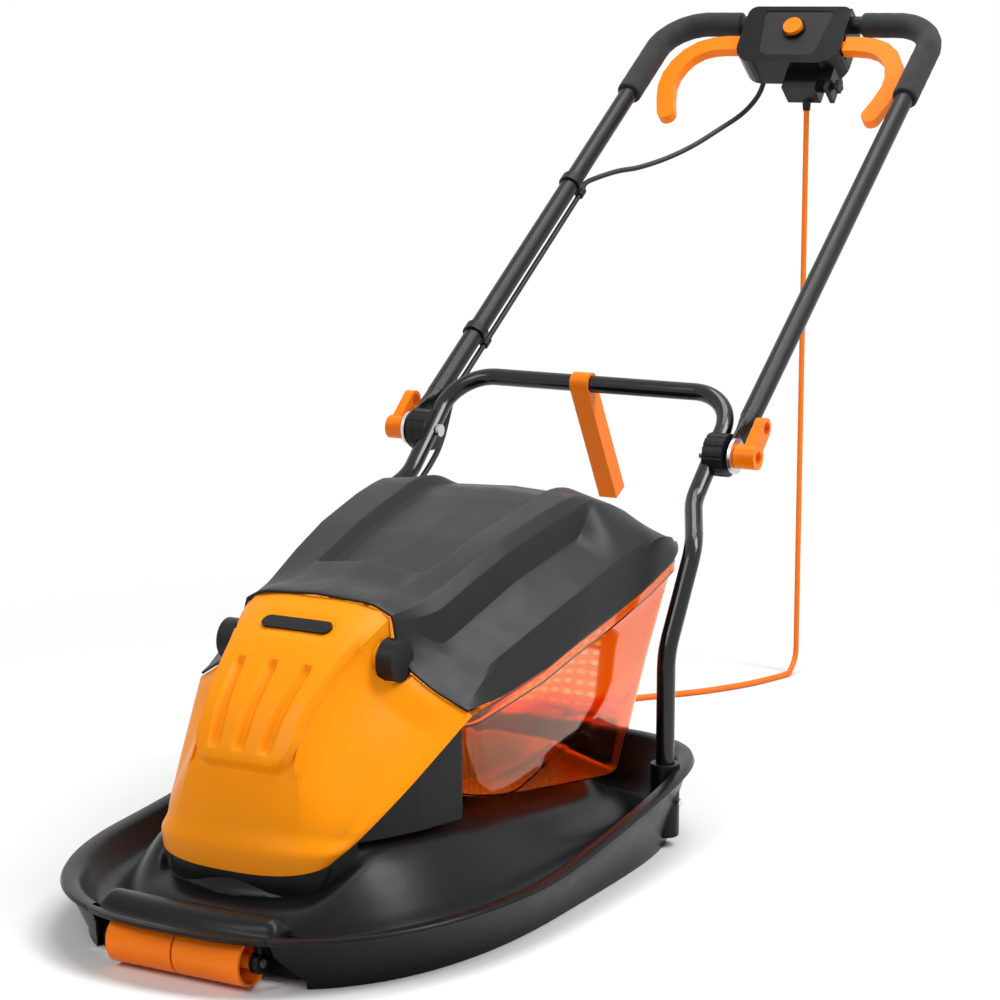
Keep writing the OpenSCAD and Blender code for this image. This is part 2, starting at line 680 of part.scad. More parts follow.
module hinge_pins() color("#a6a8ab") place() {
    both() bar_x(boss_in, cap_in + cap_thickness - switch_wall - move_gap, hinge_back, hinge_height,
        hinge_pin_radius);
}
lid_knob_share = 0.93;
lid_knob_x = 26;
lid_knob_radius = 8;
lid_knob_height = 9;
module lid_knob() color("#19191b") place() {
    t = lid_knob_share;
    fall = lid_crown * (spline(crown_shares, t + 0.02) - spline(crown_shares, t - 0.02));
    translate([lid_knob_x, lid_front + t * lid_length, lid_base + lid_crown * spline(crown_shares, t)
        + seat_gap])
        rotate([atan2(fall, 0.04 * lid_length), 0, 0]) {
        cylinder(r = 0.7 * lid_knob_radius, h = 0.5 * lid_knob_height);
        translate([0, 0, 0.5 * lid_knob_height]) cylinder(r = lid_knob_radius, h = 0.5 * lid_knob_height);
    }
}

// Grass box
box_front = 256;
box_corner = 16;
box_chamfer = 34;
box_chamfer_rise = 26;
box_floor = dome_height + seat_gap;
box_draft = 10;
box_rear_draft = 48;
box_steps = 36;
ledge = 4;
function box_plan(a, half, y0, y1, r) =
    let (k = floor(a / 90), c = [[half - r, y1 - r], [r - half, y1 - r], [r - half, y0 + r], [half - r,
        y0 + r]][k % 4])
    [c.x + r * cos(a), c.y + r * sin(a)];
function box_ring(t, grow, level, top) =
    [for (q = [0 : 3]) for (k = [0 : box_steps / 4 - 1])
        let (a = q * 90 + 90 * k / (box_steps / 4 - 1) - (k == box_steps / 4 - 1 ? 0.001 : 0),
        c = t < 0 ? box_chamfer : 0,
            d = max(0, 1 - max(0, t)), half = box_half - box_draft * d + grow - c,
            y0 = box_front - grow + box_draft * d * 1.6 + c / 2,
            y1 = box_front + box_length + grow - box_rear_draft * d - c, p = box_plan(a, half, y0, y1,
            box_corner + grow))
        [p.x, p.y, top ? flange_level(p.y) - lid_wall - seat_gap + level : level]];
box_ledge_share = 0.92;
box_rows = [box_ring(-1, -box_wall, box_floor + box_wall, false), box_ring(0, -box_wall,
    box_floor + box_chamfer_rise + box_wall, false),
    box_ring(box_ledge_share, -box_wall, -ledge_height - box_wall, true), box_ring(box_ledge_share,
        ledge - box_wall, -ledge_height, true),
    box_ring(1, ledge - box_wall, 0, true), box_ring(1, ledge, 0, true), box_ring(box_ledge_share, ledge,
        -ledge_height - box_wall, true),
    box_ring(box_ledge_share, 0, -ledge_height - 2 * box_wall, true), box_ring(0, 0,
        box_floor + box_chamfer_rise, false),
    box_ring(-1, 0, box_floor, false)];
vent_count = 12;
vent_pitch = 16;
vent_low = 140;
vent_high = 208;
window_half = 70;
window_low = 140;
window_high = 178;
module grass_box() color([0.95, 0.35, 0.02, 0.55]) place() {
    difference() {
        rings(box_rows);
        for (k = [0 : vent_count - 1]) translate([(k - (vent_count - 1) / 2) * vent_pitch, 0, 0])
            block([-vent_width / 2, box_front + box_length / 2, vent_low],
                [vent_width / 2, box_front + box_length + over, vent_high]);
        block([-window_half, box_front - over, window_low], [window_half, box_front + box_corner,
        window_high]);
    }
}

// Motor, fan and blade
bearing_radius = 13;
bearing_height = 8;
plate_radius = 52;
rotor_radius = 33;
can_wall = 3;
plate_level = dome_height + seat_gap;
can_level = plate_level + plate_top + seat_gap;
shaft_foot = blade_level + blade_thickness + seat_gap / 4;
spacer_height = 10;
hub_height = 38;
fan_blades = 8;
fan_drop = 22;
fan_disc = 3;
fan_hub = 20;
fan_level = shaft_foot + spacer_height + seat_gap / 4;
module axis() {
    place() translate([0, axis_y, 0]) children();
}
plate_screw_ring = 46.5;
module ring_of(count, r) {
    for (k = [0 : count - 1]) rotate([0, 0, 45 + 360 * k / count]) translate([r, 0, 0]) children();
}
module motor_plate() color("#6f7276") axis() difference() {
    translate([0, 0, plate_level]) cylinder(r = plate_radius, h = plate_top);
    translate([0, 0, plate_level - over]) cylinder(r = bearing_radius + seat_gap / 4,
        h = plate_top + 2 * over);
    ring_of(4, plate_screw_ring) translate([0, 0, plate_level - over])
        cylinder(r = screw_radius + seat_gap / 4, h = plate_top + 2 * over);
}
module plate_screws() color("#9a9ca0") axis() ring_of(4, plate_screw_ring) {
    translate([0, 0, plate_level + seat_gap]) cylinder(r = screw_radius, h = plate_top);
    translate([0, 0, plate_level + plate_top + seat_gap / 2]) cylinder(r = 1.7 * screw_radius,
        h = screw_head);
}
module lower_bearing() color("#b9bcc0") axis() difference() {
    translate([0, 0, plate_level - bearing_height / 3]) cylinder(r = bearing_radius, h = bearing_height);
    translate([0, 0, plate_level - bearing_height]) cylinder(r = shaft_radius + run_fit,
        h = 3 * bearing_height);
}
upper_bearing_level = can_level + motor_height - bearing_height - can_wall;
module upper_bearing() color("#b9bcc0") axis() difference() {
    translate([0, 0, upper_bearing_level]) cylinder(r = bearing_radius, h = bearing_height);
    translate([0, 0, upper_bearing_level - over]) cylinder(r = shaft_radius + run_fit,
        h = bearing_height + 2 * over);
}
module motor_can() color("#54575b") axis() difference() {
    translate([0, 0, can_level]) cylinder(r = motor_radius, h = motor_height);
    translate([0, 0, can_level - over]) cylinder(r = motor_radius - can_wall,
        h = motor_height - 4 * can_wall + over);
    translate([0, 0, upper_bearing_level - seat_gap / 4])
        cylinder(r = bearing_radius + seat_gap / 4, h = bearing_height + can_wall + over);
    translate([0, 0, can_level]) cylinder(r = bearing_radius, h = motor_height - 2 * can_wall);
}
module motor_shaft() color("#c4c6c9") axis() difference() {
    translate([0, 0, shaft_foot]) cylinder(r = shaft_radius,
        h = upper_bearing_level + bearing_height - shaft_foot);
    translate([0, 0, shaft_foot - over]) cylinder(r = blade_bolt_radius + seat_gap / 4,
        h = blade_bolt_length);
}
rotor_height = 70;
module rotor_core() color("#8a6a3c") axis() difference() {
    translate([0, 0, can_level + bearing_height]) cylinder(r = rotor_radius, h = rotor_height);
    translate([0, 0, can_level]) cylinder(r = shaft_radius + seat_gap / 4,
        h = rotor_height + 2 * bearing_height);
}
module impeller_fan() color("#3a3b3e") axis() difference() {
    union() {
        translate([0, 0, fan_level]) cylinder(r = fan_hub, h = hub_height);
        translate([0, 0, fan_level + hub_height - fan_drop - fan_disc]) cylinder(r = fan_radius,
        h = fan_disc);
        for (k = [0 : fan_blades - 1]) rotate([0, 0, 360 * k / fan_blades])
            block([fan_hub / 2, -fan_disc / 2, fan_level + hub_height - fan_drop - fan_disc / 2],
                [fan_radius * 0.93, fan_disc / 2, fan_level + hub_height - fan_disc]);
    }
    translate([0, 0, fan_level - over]) cylinder(r = shaft_radius + seat_gap / 4, h = hub_height + 2 * over);
}
module height_spacers() color("#e0781c") axis() for (k = [0, 1]) difference() {
    translate([0, 0, shaft_foot + k * spacer_height / 2]) cylinder(r = 0.9 * fan_hub,
        h = spacer_height / 2 - seat_gap / 4);
    translate([0, 0, shaft_foot - over]) cylinder(r = shaft_radius + seat_gap / 4,
        h = spacer_height + 2 * over);
}
blade_bolt_radius = 3.5;
blade_bolt_length = 34;
blade_tip_share = 0.62;
module blade() color("#a9adb2") axis() difference() {
    translate([0, 0, blade_level]) linear_extrude(height = blade_thickness) intersection() {
        circle(r = blade_radius, $fn = 96);
        union() {
            both() polygon([[0, -blade_width / 2], [blade_radius, -blade_width * blade_tip_share / 2],
                [blade_radius, blade_width * blade_tip_share / 2], [0, blade_width / 2]]);
            circle(0.75 * blade_width);
        }
    }
    translate([0, 0, blade_level - over]) cylinder(r = blade_bolt_radius + seat_gap / 4,
        h = blade_thickness + 2 * over);
}
blade_head = 7;
blade_head_radius = 9;
module blade_bolt() color("#c4c6c9") axis() {
    translate([0, 0, blade_level - blade_head - seat_gap / 4]) cylinder(r = blade_head_radius,
        h = blade_head, $fn = 6);
    translate([0, 0, blade_level - seat_gap / 2])
        cylinder(r = blade_bolt_radius, h = shaft_foot - blade_level + blade_bolt_length - 2 * over);
}

// Lower handle
function flip(p) = [-p.x, p.y, p.z];
lower_half_path = [[leg_half, leg_back, leg_foot + seat_gap], [leg_half, leg_back, leg_top], [leg_half,
    leg_knee.x, leg_knee.y],
    [joint_half, leg_join.x, leg_join.y], [joint_half, crossbar_back, crossbar_height]];
lower_path = concat(lower_half_path, [for (k = [4 : -1 : 0]) flip(lower_half_path[k])]);
lower_bends = [0, leg_bend, leg_bend, leg_bend, crossbar_bend, crossbar_bend, leg_bend, leg_bend,
    leg_bend, 0];
module pivot_cut(r) {
    bar_x(-leg_half - 3 * ratchet_radius, leg_half + 3 * ratchet_radius, pivot_back, pivot_level, r);
}
pivot_level = leg_join.y + (crossbar_height - leg_join.y) * (pivot_back - leg_join.x)
    / (crossbar_back - leg_join.x);
module lower_handle() color("#111113") place() difference() {
    bent_tube(lower_path, lower_bends, lower_radius, lower_radius - tube_wall);
    pivot_cut(bolt_radius + seat_gap / 4);
    both() bar_x(leg_half, leg_half + 2 * lower_radius, leg_back, screw_level, screw_radius + seat_gap / 4);
}

// Ratchet discs, bolts, washers and knobs at the handle joint
ratchet_back = 3;
ratchet_reach = 12;
ratchet_in = joint_half - ratchet_back;
ratchet_split = joint_half + ratchet_reach;
ratchet_outer = 7;
flat_in = ratchet_split + seat_gap + ratchet_outer + seat_gap / 4;
flat_mid = flat_in + flat_thickness / 2;
washer_thickness = 3.4;
washer_in = flat_in + flat_thickness + seat_gap / 4;
knob_in = washer_in + washer_thickness + seat_gap;
knob_boss = 24;
rib_count = 12;
rib_depth = 2;
module ratchet_disc(x0, x1) {
    difference() {
        bar_x(x0, x1, 0, 0, ratchet_radius);
        for (k = [0 : rib_count - 1]) rotate([360 * k / rib_count, 0, 0])
            bar_x(x0 - over, x1 + over, ratchet_radius + rib_depth / 2, 0, rib_depth);
        bar_x(x0 - over, x1 + over, 0, 0, bolt_radius + run_fit);
    }
}
module ratchet_inner() place() difference() {
    translate([0, pivot_back, pivot_level]) ratchet_disc(ratchet_in, ratchet_split);
    rod(lower_path[3], lower_path[4], lower_radius + seat_gap / 4);
}
module ratchet_inner_right() color("#17171a") ratchet_inner();
module ratchet_inner_left() color("#17171a") mirror([1, 0, 0]) ratchet_inner();
module ratchet_outer_half() {
    place() translate([0, pivot_back, pivot_level]) ratchet_disc(ratchet_split + seat_gap,
        ratchet_split + seat_gap + ratchet_outer);
}
module ratchet_outer_right() color("#1e1e21") ratchet_outer_half();
module ratchet_outer_left() color("#1e1e21") mirror([1, 0, 0]) ratchet_outer_half();
bolt_head_radius = 7;
bolt_head = 4;
bolt_sink = 6;
bolt_end = knob_in + knob_boss - bolt_sink;
module pivot_bolts() color("#b5b8bb") place() both() {
    bar_x(joint_half - lower_radius - bolt_head, joint_half - lower_radius - seat_gap / 4, pivot_back,
        pivot_level,
        bolt_head_radius);
    bar_x(joint_half - lower_radius - bolt_head / 2, bolt_end, pivot_back, pivot_level, bolt_radius);
}
module clamp_washers() color("#c9cbce") place() both() difference() {
    bar_x(washer_in, washer_in + washer_thickness, pivot_back, pivot_level, washer_radius);
    pivot_cut(bolt_radius + run_fit);
}
knob_angle = 42;
loop_radius = 11;
loop_root = 11.5;
loop_hole = 7;
loop_in = 9;
loop_thickness = 11;
module knob_loop_outline() {
    translate([knob_reach, 0]) circle(loop_radius);
    polygon([[0, -loop_root], [knob_reach, -loop_radius * 0.99], [knob_reach, loop_radius * 0.99], [0,
        loop_root]]);
}
module clamp_knob() place() translate([knob_in, pivot_back, pivot_level]) difference() {
    union() {
        bar_x(0, knob_boss, 0, 0, knob_radius);
        translate([loop_in, 0, 0]) rotate([knob_angle, 0, 0]) rotate([90, 0, 90])
            linear_extrude(height = loop_thickness) knob_loop_outline();
    }
    bar_x(-over, bolt_end - knob_in + move_gap, 0, 0, bolt_radius + run_fit);
    bar_x(bolt_end - knob_in, knob_boss + over, 0, 0, bolt_head_radius);
    rotate([knob_angle, 0, 0]) bar_x(0, knob_boss + over, knob_reach, 0, loop_hole);
}
module clamp_knob_right() color("#f47a10") clamp_knob();
module clamp_knob_left() color("#f47a10") mirror([1, 0, 0]) clamp_knob();

// Upper handle
corner = [180, bar_back, grip_height];
pivot_point = [flat_mid, pivot_back, pivot_level];
tube_dir = unit(corner - pivot_point);
taper_start = 24;
taper_length = 34;
tube_start = pivot_point + tube_dir * (taper_start + taper_length);
upper_path = [tube_start, corner, flip(corner), flip(tube_start)];
upper_bends = [0, corner_bend, corner_bend, 0];
flat_half = 15;
flat_back = 14;
plug_share = 0.965;
plug_start = 3;
plug_length = 11;
plug_width_share = 0.713;
flat_steps = [[-flat_back, 0.55, 0], [-0.6 * flat_back, 0.9, 0], [0, 1, 0], [taper_start, 1, 0],
    [taper_start + 0.35 * taper_length, 0.93, 0.35], [taper_start + 0.7 * taper_length, 0.76, 0.8],
    [taper_start + taper_length + plug_start, plug_width_share, plug_share],
    [taper_start + taper_length + plug_length, plug_width_share, plug_share]];
flat_sides = 24;
module flat_end() {
    x = unit([1, 0, 0] - tube_dir * tube_dir.x);
    w = cross(x, tube_dir);
    rings([for (s = flat_steps) [for (j = [0 : flat_sides - 1])
        let (a = 360 * j / flat_sides, th = mix(flat_thickness / 2, upper_radius, s[2]),
            c = sgn(cos(a)) * pow(abs(cos(a)), mix(0.4, 1, s[2])), q = sin(a))
        pivot_point + tube_dir * s[0] - [tube_dir.x * s[0] * (1 - s[2]), 0,
        0] + x * th * c + w * flat_half * s[1] * q]]);
}
module upper_handle() color("#19191b") place() difference() {
    union() {
        bent_tube(upper_path, upper_bends, upper_radius, upper_radius - tube_wall);
        both() flat_end();
    }
    pivot_cut(bolt_radius + run_fit);
}
foam_low = 146;
foam_in = 82;
foam_clear = 0.15;
module foam_grip() place() {
    bent_tube([corner - tube_dir * foam_low, corner, [foam_in, bar_back, grip_height]], [0, corner_bend,
        0], foam_radius,
        upper_radius + foam_clear);
}
module foam_grip_right() color("#151516") foam_grip();
module foam_grip_left() color("#151516") mirror([1, 0, 0]) foam_grip();

// Swinging prop on the crossbar
prop_x = -13;
prop_half = 11;
prop_wall = 3;
prop_length = 150;
prop_angle = 29;
prop_lip = 16;
module lid_prop() color("#f47a10") place() translate([prop_x, crossbar_back, crossbar_height])
    rotate([prop_angle, 0, 0])
    difference() {
        union() {
            bar_x(-prop_half, prop_half, 0, 0, lower_radius + prop_wall);
            block([-prop_half, -lower_radius - prop_wall, -prop_length], [prop_half,
            -lower_radius + prop_wall, 0]);
            block([-prop_half, -lower_radius - prop_wall, -prop_length], [prop_wall - prop_half,
            lower_radius, -lower_radius]);
            block([prop_half - prop_wall, -lower_radius - prop_wall, -prop_length], [prop_half,
            lower_radius, -lower_radius]);
        }
        bar_x(-2 * prop_half, 2 * prop_half, 0, 0, lower_radius + run_fit);
        block([-2 * prop_half, 0, -0.4 * lower_radius], [2 * prop_half, 3 * lower_radius,
        0.4 * lower_radius]);
    }

// Switch box, in a frame on the top bar that leans forward from the line of the handle
bar_tilt = atan2(corner.z - pivot_point.z, corner.y - pivot_point.y);
box_lean = 15;
box_tilt = bar_tilt + box_lean;
module at_bar() place() translate([0, bar_back, grip_height]) rotate([box_tilt, 0, 0]) children();
box_back = 14;
switch_corner = 12;
nose_corner = 27;
corner_steps = 6;
lever_window_half = 10;
window_drop = 13;
window_rise = 9.3;
lever_y = -39.5;
lever_z = 6.5;
lever_shaft_radius = 3;
lever_rod_half = 50;
cheek_half = 6;
button_y = -21;
panel_thickness = 1.5;
panel_sink = 1;
panel_edge = 7;
panel_round = 15;
panel_top_half = 46;
panel_foot_half = 39;
panel_foot = 12;
function arc_points(x, y, r, a) =
    [for (k = [0 : corner_steps]) [x + r * cos(a + 90 * k / corner_steps),
        y + r * sin(a + 90 * k / corner_steps)]];
module soft_outline(top_half, foot_half, y0, y1, top_round, foot_round) {
    polygon(concat(arc_points(top_half - top_round, y1 - top_round, top_round, 0),
        arc_points(top_round - top_half, y1 - top_round, top_round, 90),
        arc_points(foot_round - foot_half, y0 + foot_round, foot_round, 180),
        arc_points(foot_half - foot_round, y0 + foot_round, foot_round, 270)));
}
module switch_outline(inset) {
    soft_outline(switch_half - inset, switch_half - inset, box_back - switch_length + inset, box_back - inset,
        switch_corner - inset, nose_corner - inset);
}
module panel_outline(inset) {
    soft_outline(panel_top_half - inset, panel_foot_half - inset,
        box_back - switch_length + panel_foot + inset,
        box_back - panel_edge - inset, panel_round / 3 - inset, panel_round - inset);
}
post_x_share = 0.36;
post_y_share = 0.74;
module switch_screw_places() {
    both() translate([post_x_share * switch_half, box_back - post_y_share * switch_length, 0]) children();
}
module switch_post(z0, z1) {
    switch_screw_places() translate([0, 0, z0]) cylinder(r = 2 * screw_radius, h = z1 - z0);
}
module switch_openings() {
    bar_x(-2 * switch_half, 2 * switch_half, 0, 0, upper_radius + foam_clear);
    both() block([switch_half - 2 * switch_wall, lever_y - lever_window_half, lever_z - window_drop],
        [switch_half + over, lever_y + lever_window_half, lever_z + window_rise]);
    bar_x(-lever_rod_half, lever_rod_half, lever_y, lever_z, lever_shaft_radius + seat_gap / 4);
}
module switch_box_top() color("#161618") at_bar() difference() {
    union() {
        difference() {
            translate([0, 0, seat_gap / 4]) linear_extrude(height = switch_rise) switch_outline(0);
            translate([0, 0, -over]) linear_extrude(height = switch_rise - 2 * switch_wall + over)
                switch_outline(switch_wall);
        }
        both() block([switch_half - 4 * switch_wall, -box_back, seat_gap / 4],
            [switch_half - switch_wall / 2, box_back - switch_wall / 2, switch_rise - switch_wall]);
        both() block([lever_rod_half - 4 * switch_wall, lever_y - cheek_half, seat_gap / 4],
            [lever_rod_half - 3 * switch_wall, lever_y + cheek_half, switch_rise - switch_wall]);
        switch_post(seat_gap / 4, switch_rise - switch_wall);
    }
    switch_openings();
    translate([0, button_y, 0]) cylinder(r = button_radius + move_gap / 2, h = 2 * switch_rise);
    translate([0, 0, switch_rise - panel_sink - panel_thickness]) linear_extrude(height = switch_rise)
        panel_outline(0);
    switch_screw_places() translate([0, 0, -over])
        cylinder(r = screw_radius + seat_gap / 4, h = switch_rise - 2 * switch_wall);
}
// Socket of the mains lead under the nose, with the slot that its loop hangs in
socket_x0 = -1;
socket_x1 = 61;
socket_reach = 24;
socket_y0 = box_back - switch_length - socket_reach;
socket_z0 = -30;
slot_x0 = 43;
slot_x1 = 55;
slot_depth = 16;
gland_x = 24;
gland_y = -84;
gland_z = -18;
gland_radius = 6;
gland_tip = 4.6;
gland_length = 20;
gland_drop = 8;
module switch_box_bottom() color("#131315") at_bar() difference() {
    union() {
        difference() {
            translate([0, 0, -switch_drop]) linear_extrude(height = switch_drop) switch_outline(0);
            translate([0, 0, switch_wall - switch_drop]) linear_extrude(height = switch_drop)
            switch_outline(switch_wall);
        }
        both() block([switch_half - 4 * switch_wall, -box_back, -switch_drop + switch_wall / 2],
            [switch_half - switch_wall / 2, box_back - switch_wall / 2, 0]);
        block([socket_x0, socket_y0, socket_z0], [socket_x1, box_back - switch_length + nose_corner / 2,
        -seat_gap]);
        switch_post(-switch_drop + switch_wall / 2, 0);
    }
    switch_openings();
    block([slot_x0, socket_y0 - over, socket_z0 - over], [slot_x1, socket_y0 + slot_depth, over]);
    gland_hole(gland_radius + seat_gap / 4);
    cable_hole(cable_radius + seat_gap / 4);
    switch_screw_places() translate([0, 0, -switch_drop - over])
        cylinder(r = screw_radius + seat_gap / 4, h = 2 * switch_drop);
}
gland_point = [gland_x, gland_y, gland_z];
module at_gland() translate(gland_point) rotate([-box_tilt, 0, 0]) children();
module gland_hole(r) {
    at_gland() translate([0, 0, -2 * gland_length]) cylinder(r = r, h = 2 * gland_length);
}
cable_exit_x = -46;
cable_exit_y = -50;
cable_exit = [cable_exit_x, cable_exit_y, -switch_drop];
module cable_hole(r) {
    translate(cable_exit + [0, 0, -over]) cylinder(r = r, h = 4 * over);
}
module box_screws() color("#9a9ca0") at_bar() switch_screw_places() {
    translate([0, 0, -switch_drop - screw_head - seat_gap / 4]) cylinder(r = 1.7 * screw_radius,
        h = screw_head);
    translate([0, 0, -switch_drop - screw_head / 2]) cylinder(r = screw_radius,
        h = switch_drop + switch_rise / 2);
}
module panel_plate() color("#26262a") at_bar() translate([0, 0,
    switch_rise - panel_sink - panel_thickness + seat_gap / 2])
    linear_extrude(height = panel_thickness - seat_gap / 2) difference() {
        panel_outline(seat_gap / 2);
        translate([0, button_y]) circle(button_radius + move_gap / 2);
    }
ring_wall = 3;
ring_height = 3;
module button_ring() color("#0e0e10") at_bar() translate([0, button_y,
    switch_rise - panel_sink + seat_gap / 4]) difference() {
    cylinder(r = button_radius + ring_wall, h = ring_height);
    translate([0, 0, -over]) cylinder(r = button_radius + move_gap / 2, h = ring_height + 2 * over);
}
button_foot = 11;
button_stem = 3;
spring_wire = 0.6;
module start_button() color("#f58a0c") at_bar() translate([0, button_y, 0]) {
    translate([0, 0, button_foot]) cylinder(r = button_radius,
        h = switch_rise + 2.4 * ring_height - button_foot);
    translate([0, -button_stem, micro_top + button_travel + move_gap]) cylinder(r = button_stem,
        h = button_foot - micro_top - button_travel);
}
micro_top = -1;
micro_half = [10, 6];
module microswitch() color("#35363a") at_bar()
    block([-micro_half.x, button_y - button_stem - micro_half.y, -switch_drop + switch_wall + seat_gap / 4],
        [micro_half.x, button_y - button_stem + micro_half.y, micro_top]);
spring_steps = 60;
spring_turns = 4;
spring_radius = 5;
module button_spring() color("#c4c6c9") at_bar() translate([0, button_y - button_stem, 0])
    cord([for (k = [0 : spring_steps]) let (a = 360 * spring_turns * k / spring_steps)
        [spring_radius * cos(a), spring_radius * sin(a),
            mix(micro_top + spring_wire + seat_gap / 4, button_foot - spring_wire - seat_gap / 4,
            k / spring_steps)]],
        spring_wire, 5, [0, 0, 1]);
module lever_shaft() color("#b5b8bb") at_bar() bar_x(-lever_rod_half, lever_rod_half, lever_y, lever_z,
    lever_shaft_radius);

// Levers, built flat and swung to their rest angle
lever_root = 46;
lever_reach = 149;
lever_fall = 112;
// Middle line of a lever, as shares of its reach and of its fall
lever_shares = [[0.309, 0], [0.443, 0], [0.591, 0], [0.711, 0.018], [0.819, 0.071], [0.906, 0.17],
    [0.966, 0.304],
    [1, 0.464], [1, 0.625], [0.966, 0.804], [0.913, 1]];
lever_points = [for (s = lever_shares) [s[0] * lever_reach, -s[1] * lever_fall]];
lever_far = 300;
function lever_normal(k) = let (d = lever_points[min(10, k + 1)] - lever_points[max(0, k - 1)]) [-d.y,
    d.x] / norm(d);
module lever_line(w) {
    translate([0, lever_y]) polygon(concat(
        [for (k = [0 : 10]) lever_points[k] + lever_normal(k) * w / 2],
        [for (k = [10 : -1 : 0]) lever_points[k] - lever_normal(k) * w / 2]));
    translate([lever_points[10].x, lever_y + lever_points[10].y]) circle(w / 2);
}
lever_hub = 7;
module lever() at_bar() translate([0, lever_y, lever_z]) rotate([lever_rest, 0, 0]) translate([0,
    -lever_y, 0]) difference() {
    union() {
        translate([0, 0, -lever_thickness / 2]) linear_extrude(height = lever_thickness) intersection() {
            lever_line(lever_width);
            translate([switch_half + move_gap, -lever_far]) square(2 * lever_far);
        }
        bar_x(lever_root - 4 * switch_wall + lever_gap, switch_half + 2 * move_gap, lever_y, 0, lever_hub);
    }
    translate([0, 0, lever_wall - lever_thickness / 2 - lever_thickness])
        linear_extrude(height = lever_thickness) intersection() {
        lever_line(lever_width - 2 * lever_wall);
        translate([switch_half + 4 * move_gap, -lever_far]) square(2 * lever_far);
    }
    bar_x(0, lever_rod_half + move_gap, lever_y, 0, lever_shaft_radius + run_fit);
}
lever_gap = 8;
module lever_right() color("#f47a10") lever();
module lever_left() color("#f47a10") mirror([1, 0, 0]) lever();

module cable_gland() color("#0f0f11") at_bar() difference() {
    at_gland() translate([0, 0, -gland_length - gland_drop])
        cylinder(r1 = gland_tip, r2 = gland_radius, h = gland_length);
    at_gland() translate([0, 0, -3 * gland_length]) cylinder(r = lead_radius + seat_gap / 4,
        h = 4 * gland_length);
}
hook_radius = 8;
hook_lobes = 5;
hook_wave_share = 0.13;
hook_points = 60;
hook_stem = 6;
hook_start = 4;
hook_thickness = 5;
hook_y = 14;
hook_z = -14;
hook_place = [socket_x1 + seat_gap / 2, socket_y0 + hook_y, hook_z];
module cable_hook() color("#151517") at_bar() translate(hook_place) {
    bar_x(0, hook_stem, 0, 0, hook_radius / 2);
    translate([hook_start, 0, 0]) rotate([90, 0, 90]) linear_extrude(height = hook_thickness)
        polygon([for (k = [0 : hook_points - 1]) let (a = 360 * k / hook_points,
            r = hook_radius * (1 + hook_wave_share * cos(hook_lobes * a))) [r * cos(a), r * sin(a)]]);
}

// Switch cable and its clips on the left tube
clip_length = 11;
clip_wall = 3;
left_dir = flip(tube_dir);
cable_drop = unit(cross([1, 0, 0], left_dir));
cable_off = upper_radius + clip_wall + cable_radius;
function on_left(s) = flip(tube_start) + left_dir * s;
clip_low = 100;
clip_high = 375;
clip_places = [clip_low, clip_high];
cable_side = unit([0.55, 0, 0] - cable_drop);
function cable_at(s) = on_left(s) + cable_side * cable_off;
module cable_clips() color("#141416") place() for (s = clip_places) difference() {
    union() {
        rod(on_left(s), on_left(s + clip_length), upper_radius + clip_wall);
        rod(cable_at(s), cable_at(s + clip_length), cable_radius + 0.7 * clip_wall);
    }
    rod(on_left(s - over), on_left(s + clip_length + over), upper_radius + seat_gap / 4);
    rod(cable_at(s - over), cable_at(s + clip_length + over), cable_radius + seat_gap / 4);
}
function bar_point(q) = [q.x, bar_back + q.y * cos(box_tilt) - q.z * sin(box_tilt),
    grip_height + q.y * sin(box_tilt) + q.z * cos(box_tilt)];
cable_start = bar_point(cable_exit);
bar_down = bar_point([0, 0, -1]) - bar_point([0, 0, 0]);
cable_sag = 55;
cable_hang = concat(
    [cable_start, cable_start + bar_down * 0.3 * cable_sag],
    [for (t = [0.15, 0.3, 0.45, 0.6, 0.75, 0.88]) mix(cable_start + bar_down * 0.6 * cable_sag,
        cable_at(clip_places[1] + 4 * clip_length), t)
        - [0, 0, cable_sag * 4 * t * (1 - t) * 0.5]],
    [cable_at(clip_places[1] + 2.5 * clip_length), cable_at(clip_places[1] + clip_length),
        cable_at(clip_places[1])],
    [for (s = [330, 270, 210, 160]) cable_at(s)],
    [cable_at(clip_places[0] + clip_length), cable_at(clip_places[0]), cable_at(50)]);
module switch_cable_upper() color("#121214") place() cord(cable_hang, cable_radius, 8, [0.2, 1, 0.3]);
cable_join = cable_at(50);
cable_low = [cable_join - left_dir * seat_gap, cable_at(20), [-180, 755, 362], [-176, 722, 338], [-180,
    680, 305],
    [-184, 640, 255], [-184, 608, 218], [-183, 586, 185], [-182, 572, 145], [-181, 562, 108], [-181, 557,
        72], [-179, 554, 36]];
module switch_cable_lower() color("#121214") place() cord(cable_low, cable_radius, 8, [0.2, 1, 0.3]);

// Mains lead: a hanging run, a run on the floor, a coil with its tie, and the plug
lead_tuck = 6;
lead_top = bar_point(gland_point) + [0, 0, -gland_length - lead_tuck];
tie_wall = 1;
tie_width = 12;
lead_gap = 0.9;
coil_mid = [-100, 862];
lead_pitch = 2 * lead_radius + lead_gap;
loop_steps = 24;
drop_end = 41;
module mains_drop() color("#f57c12") place()
    rod([lead_top.x, lead_top.y, drop_end], lead_top, lead_radius);
loops = coil_layers * coil_turns;
coil_outer = coil_inner + lead_pitch * coil_turns;
coil_base = lead_radius + 2 * tie_wall;
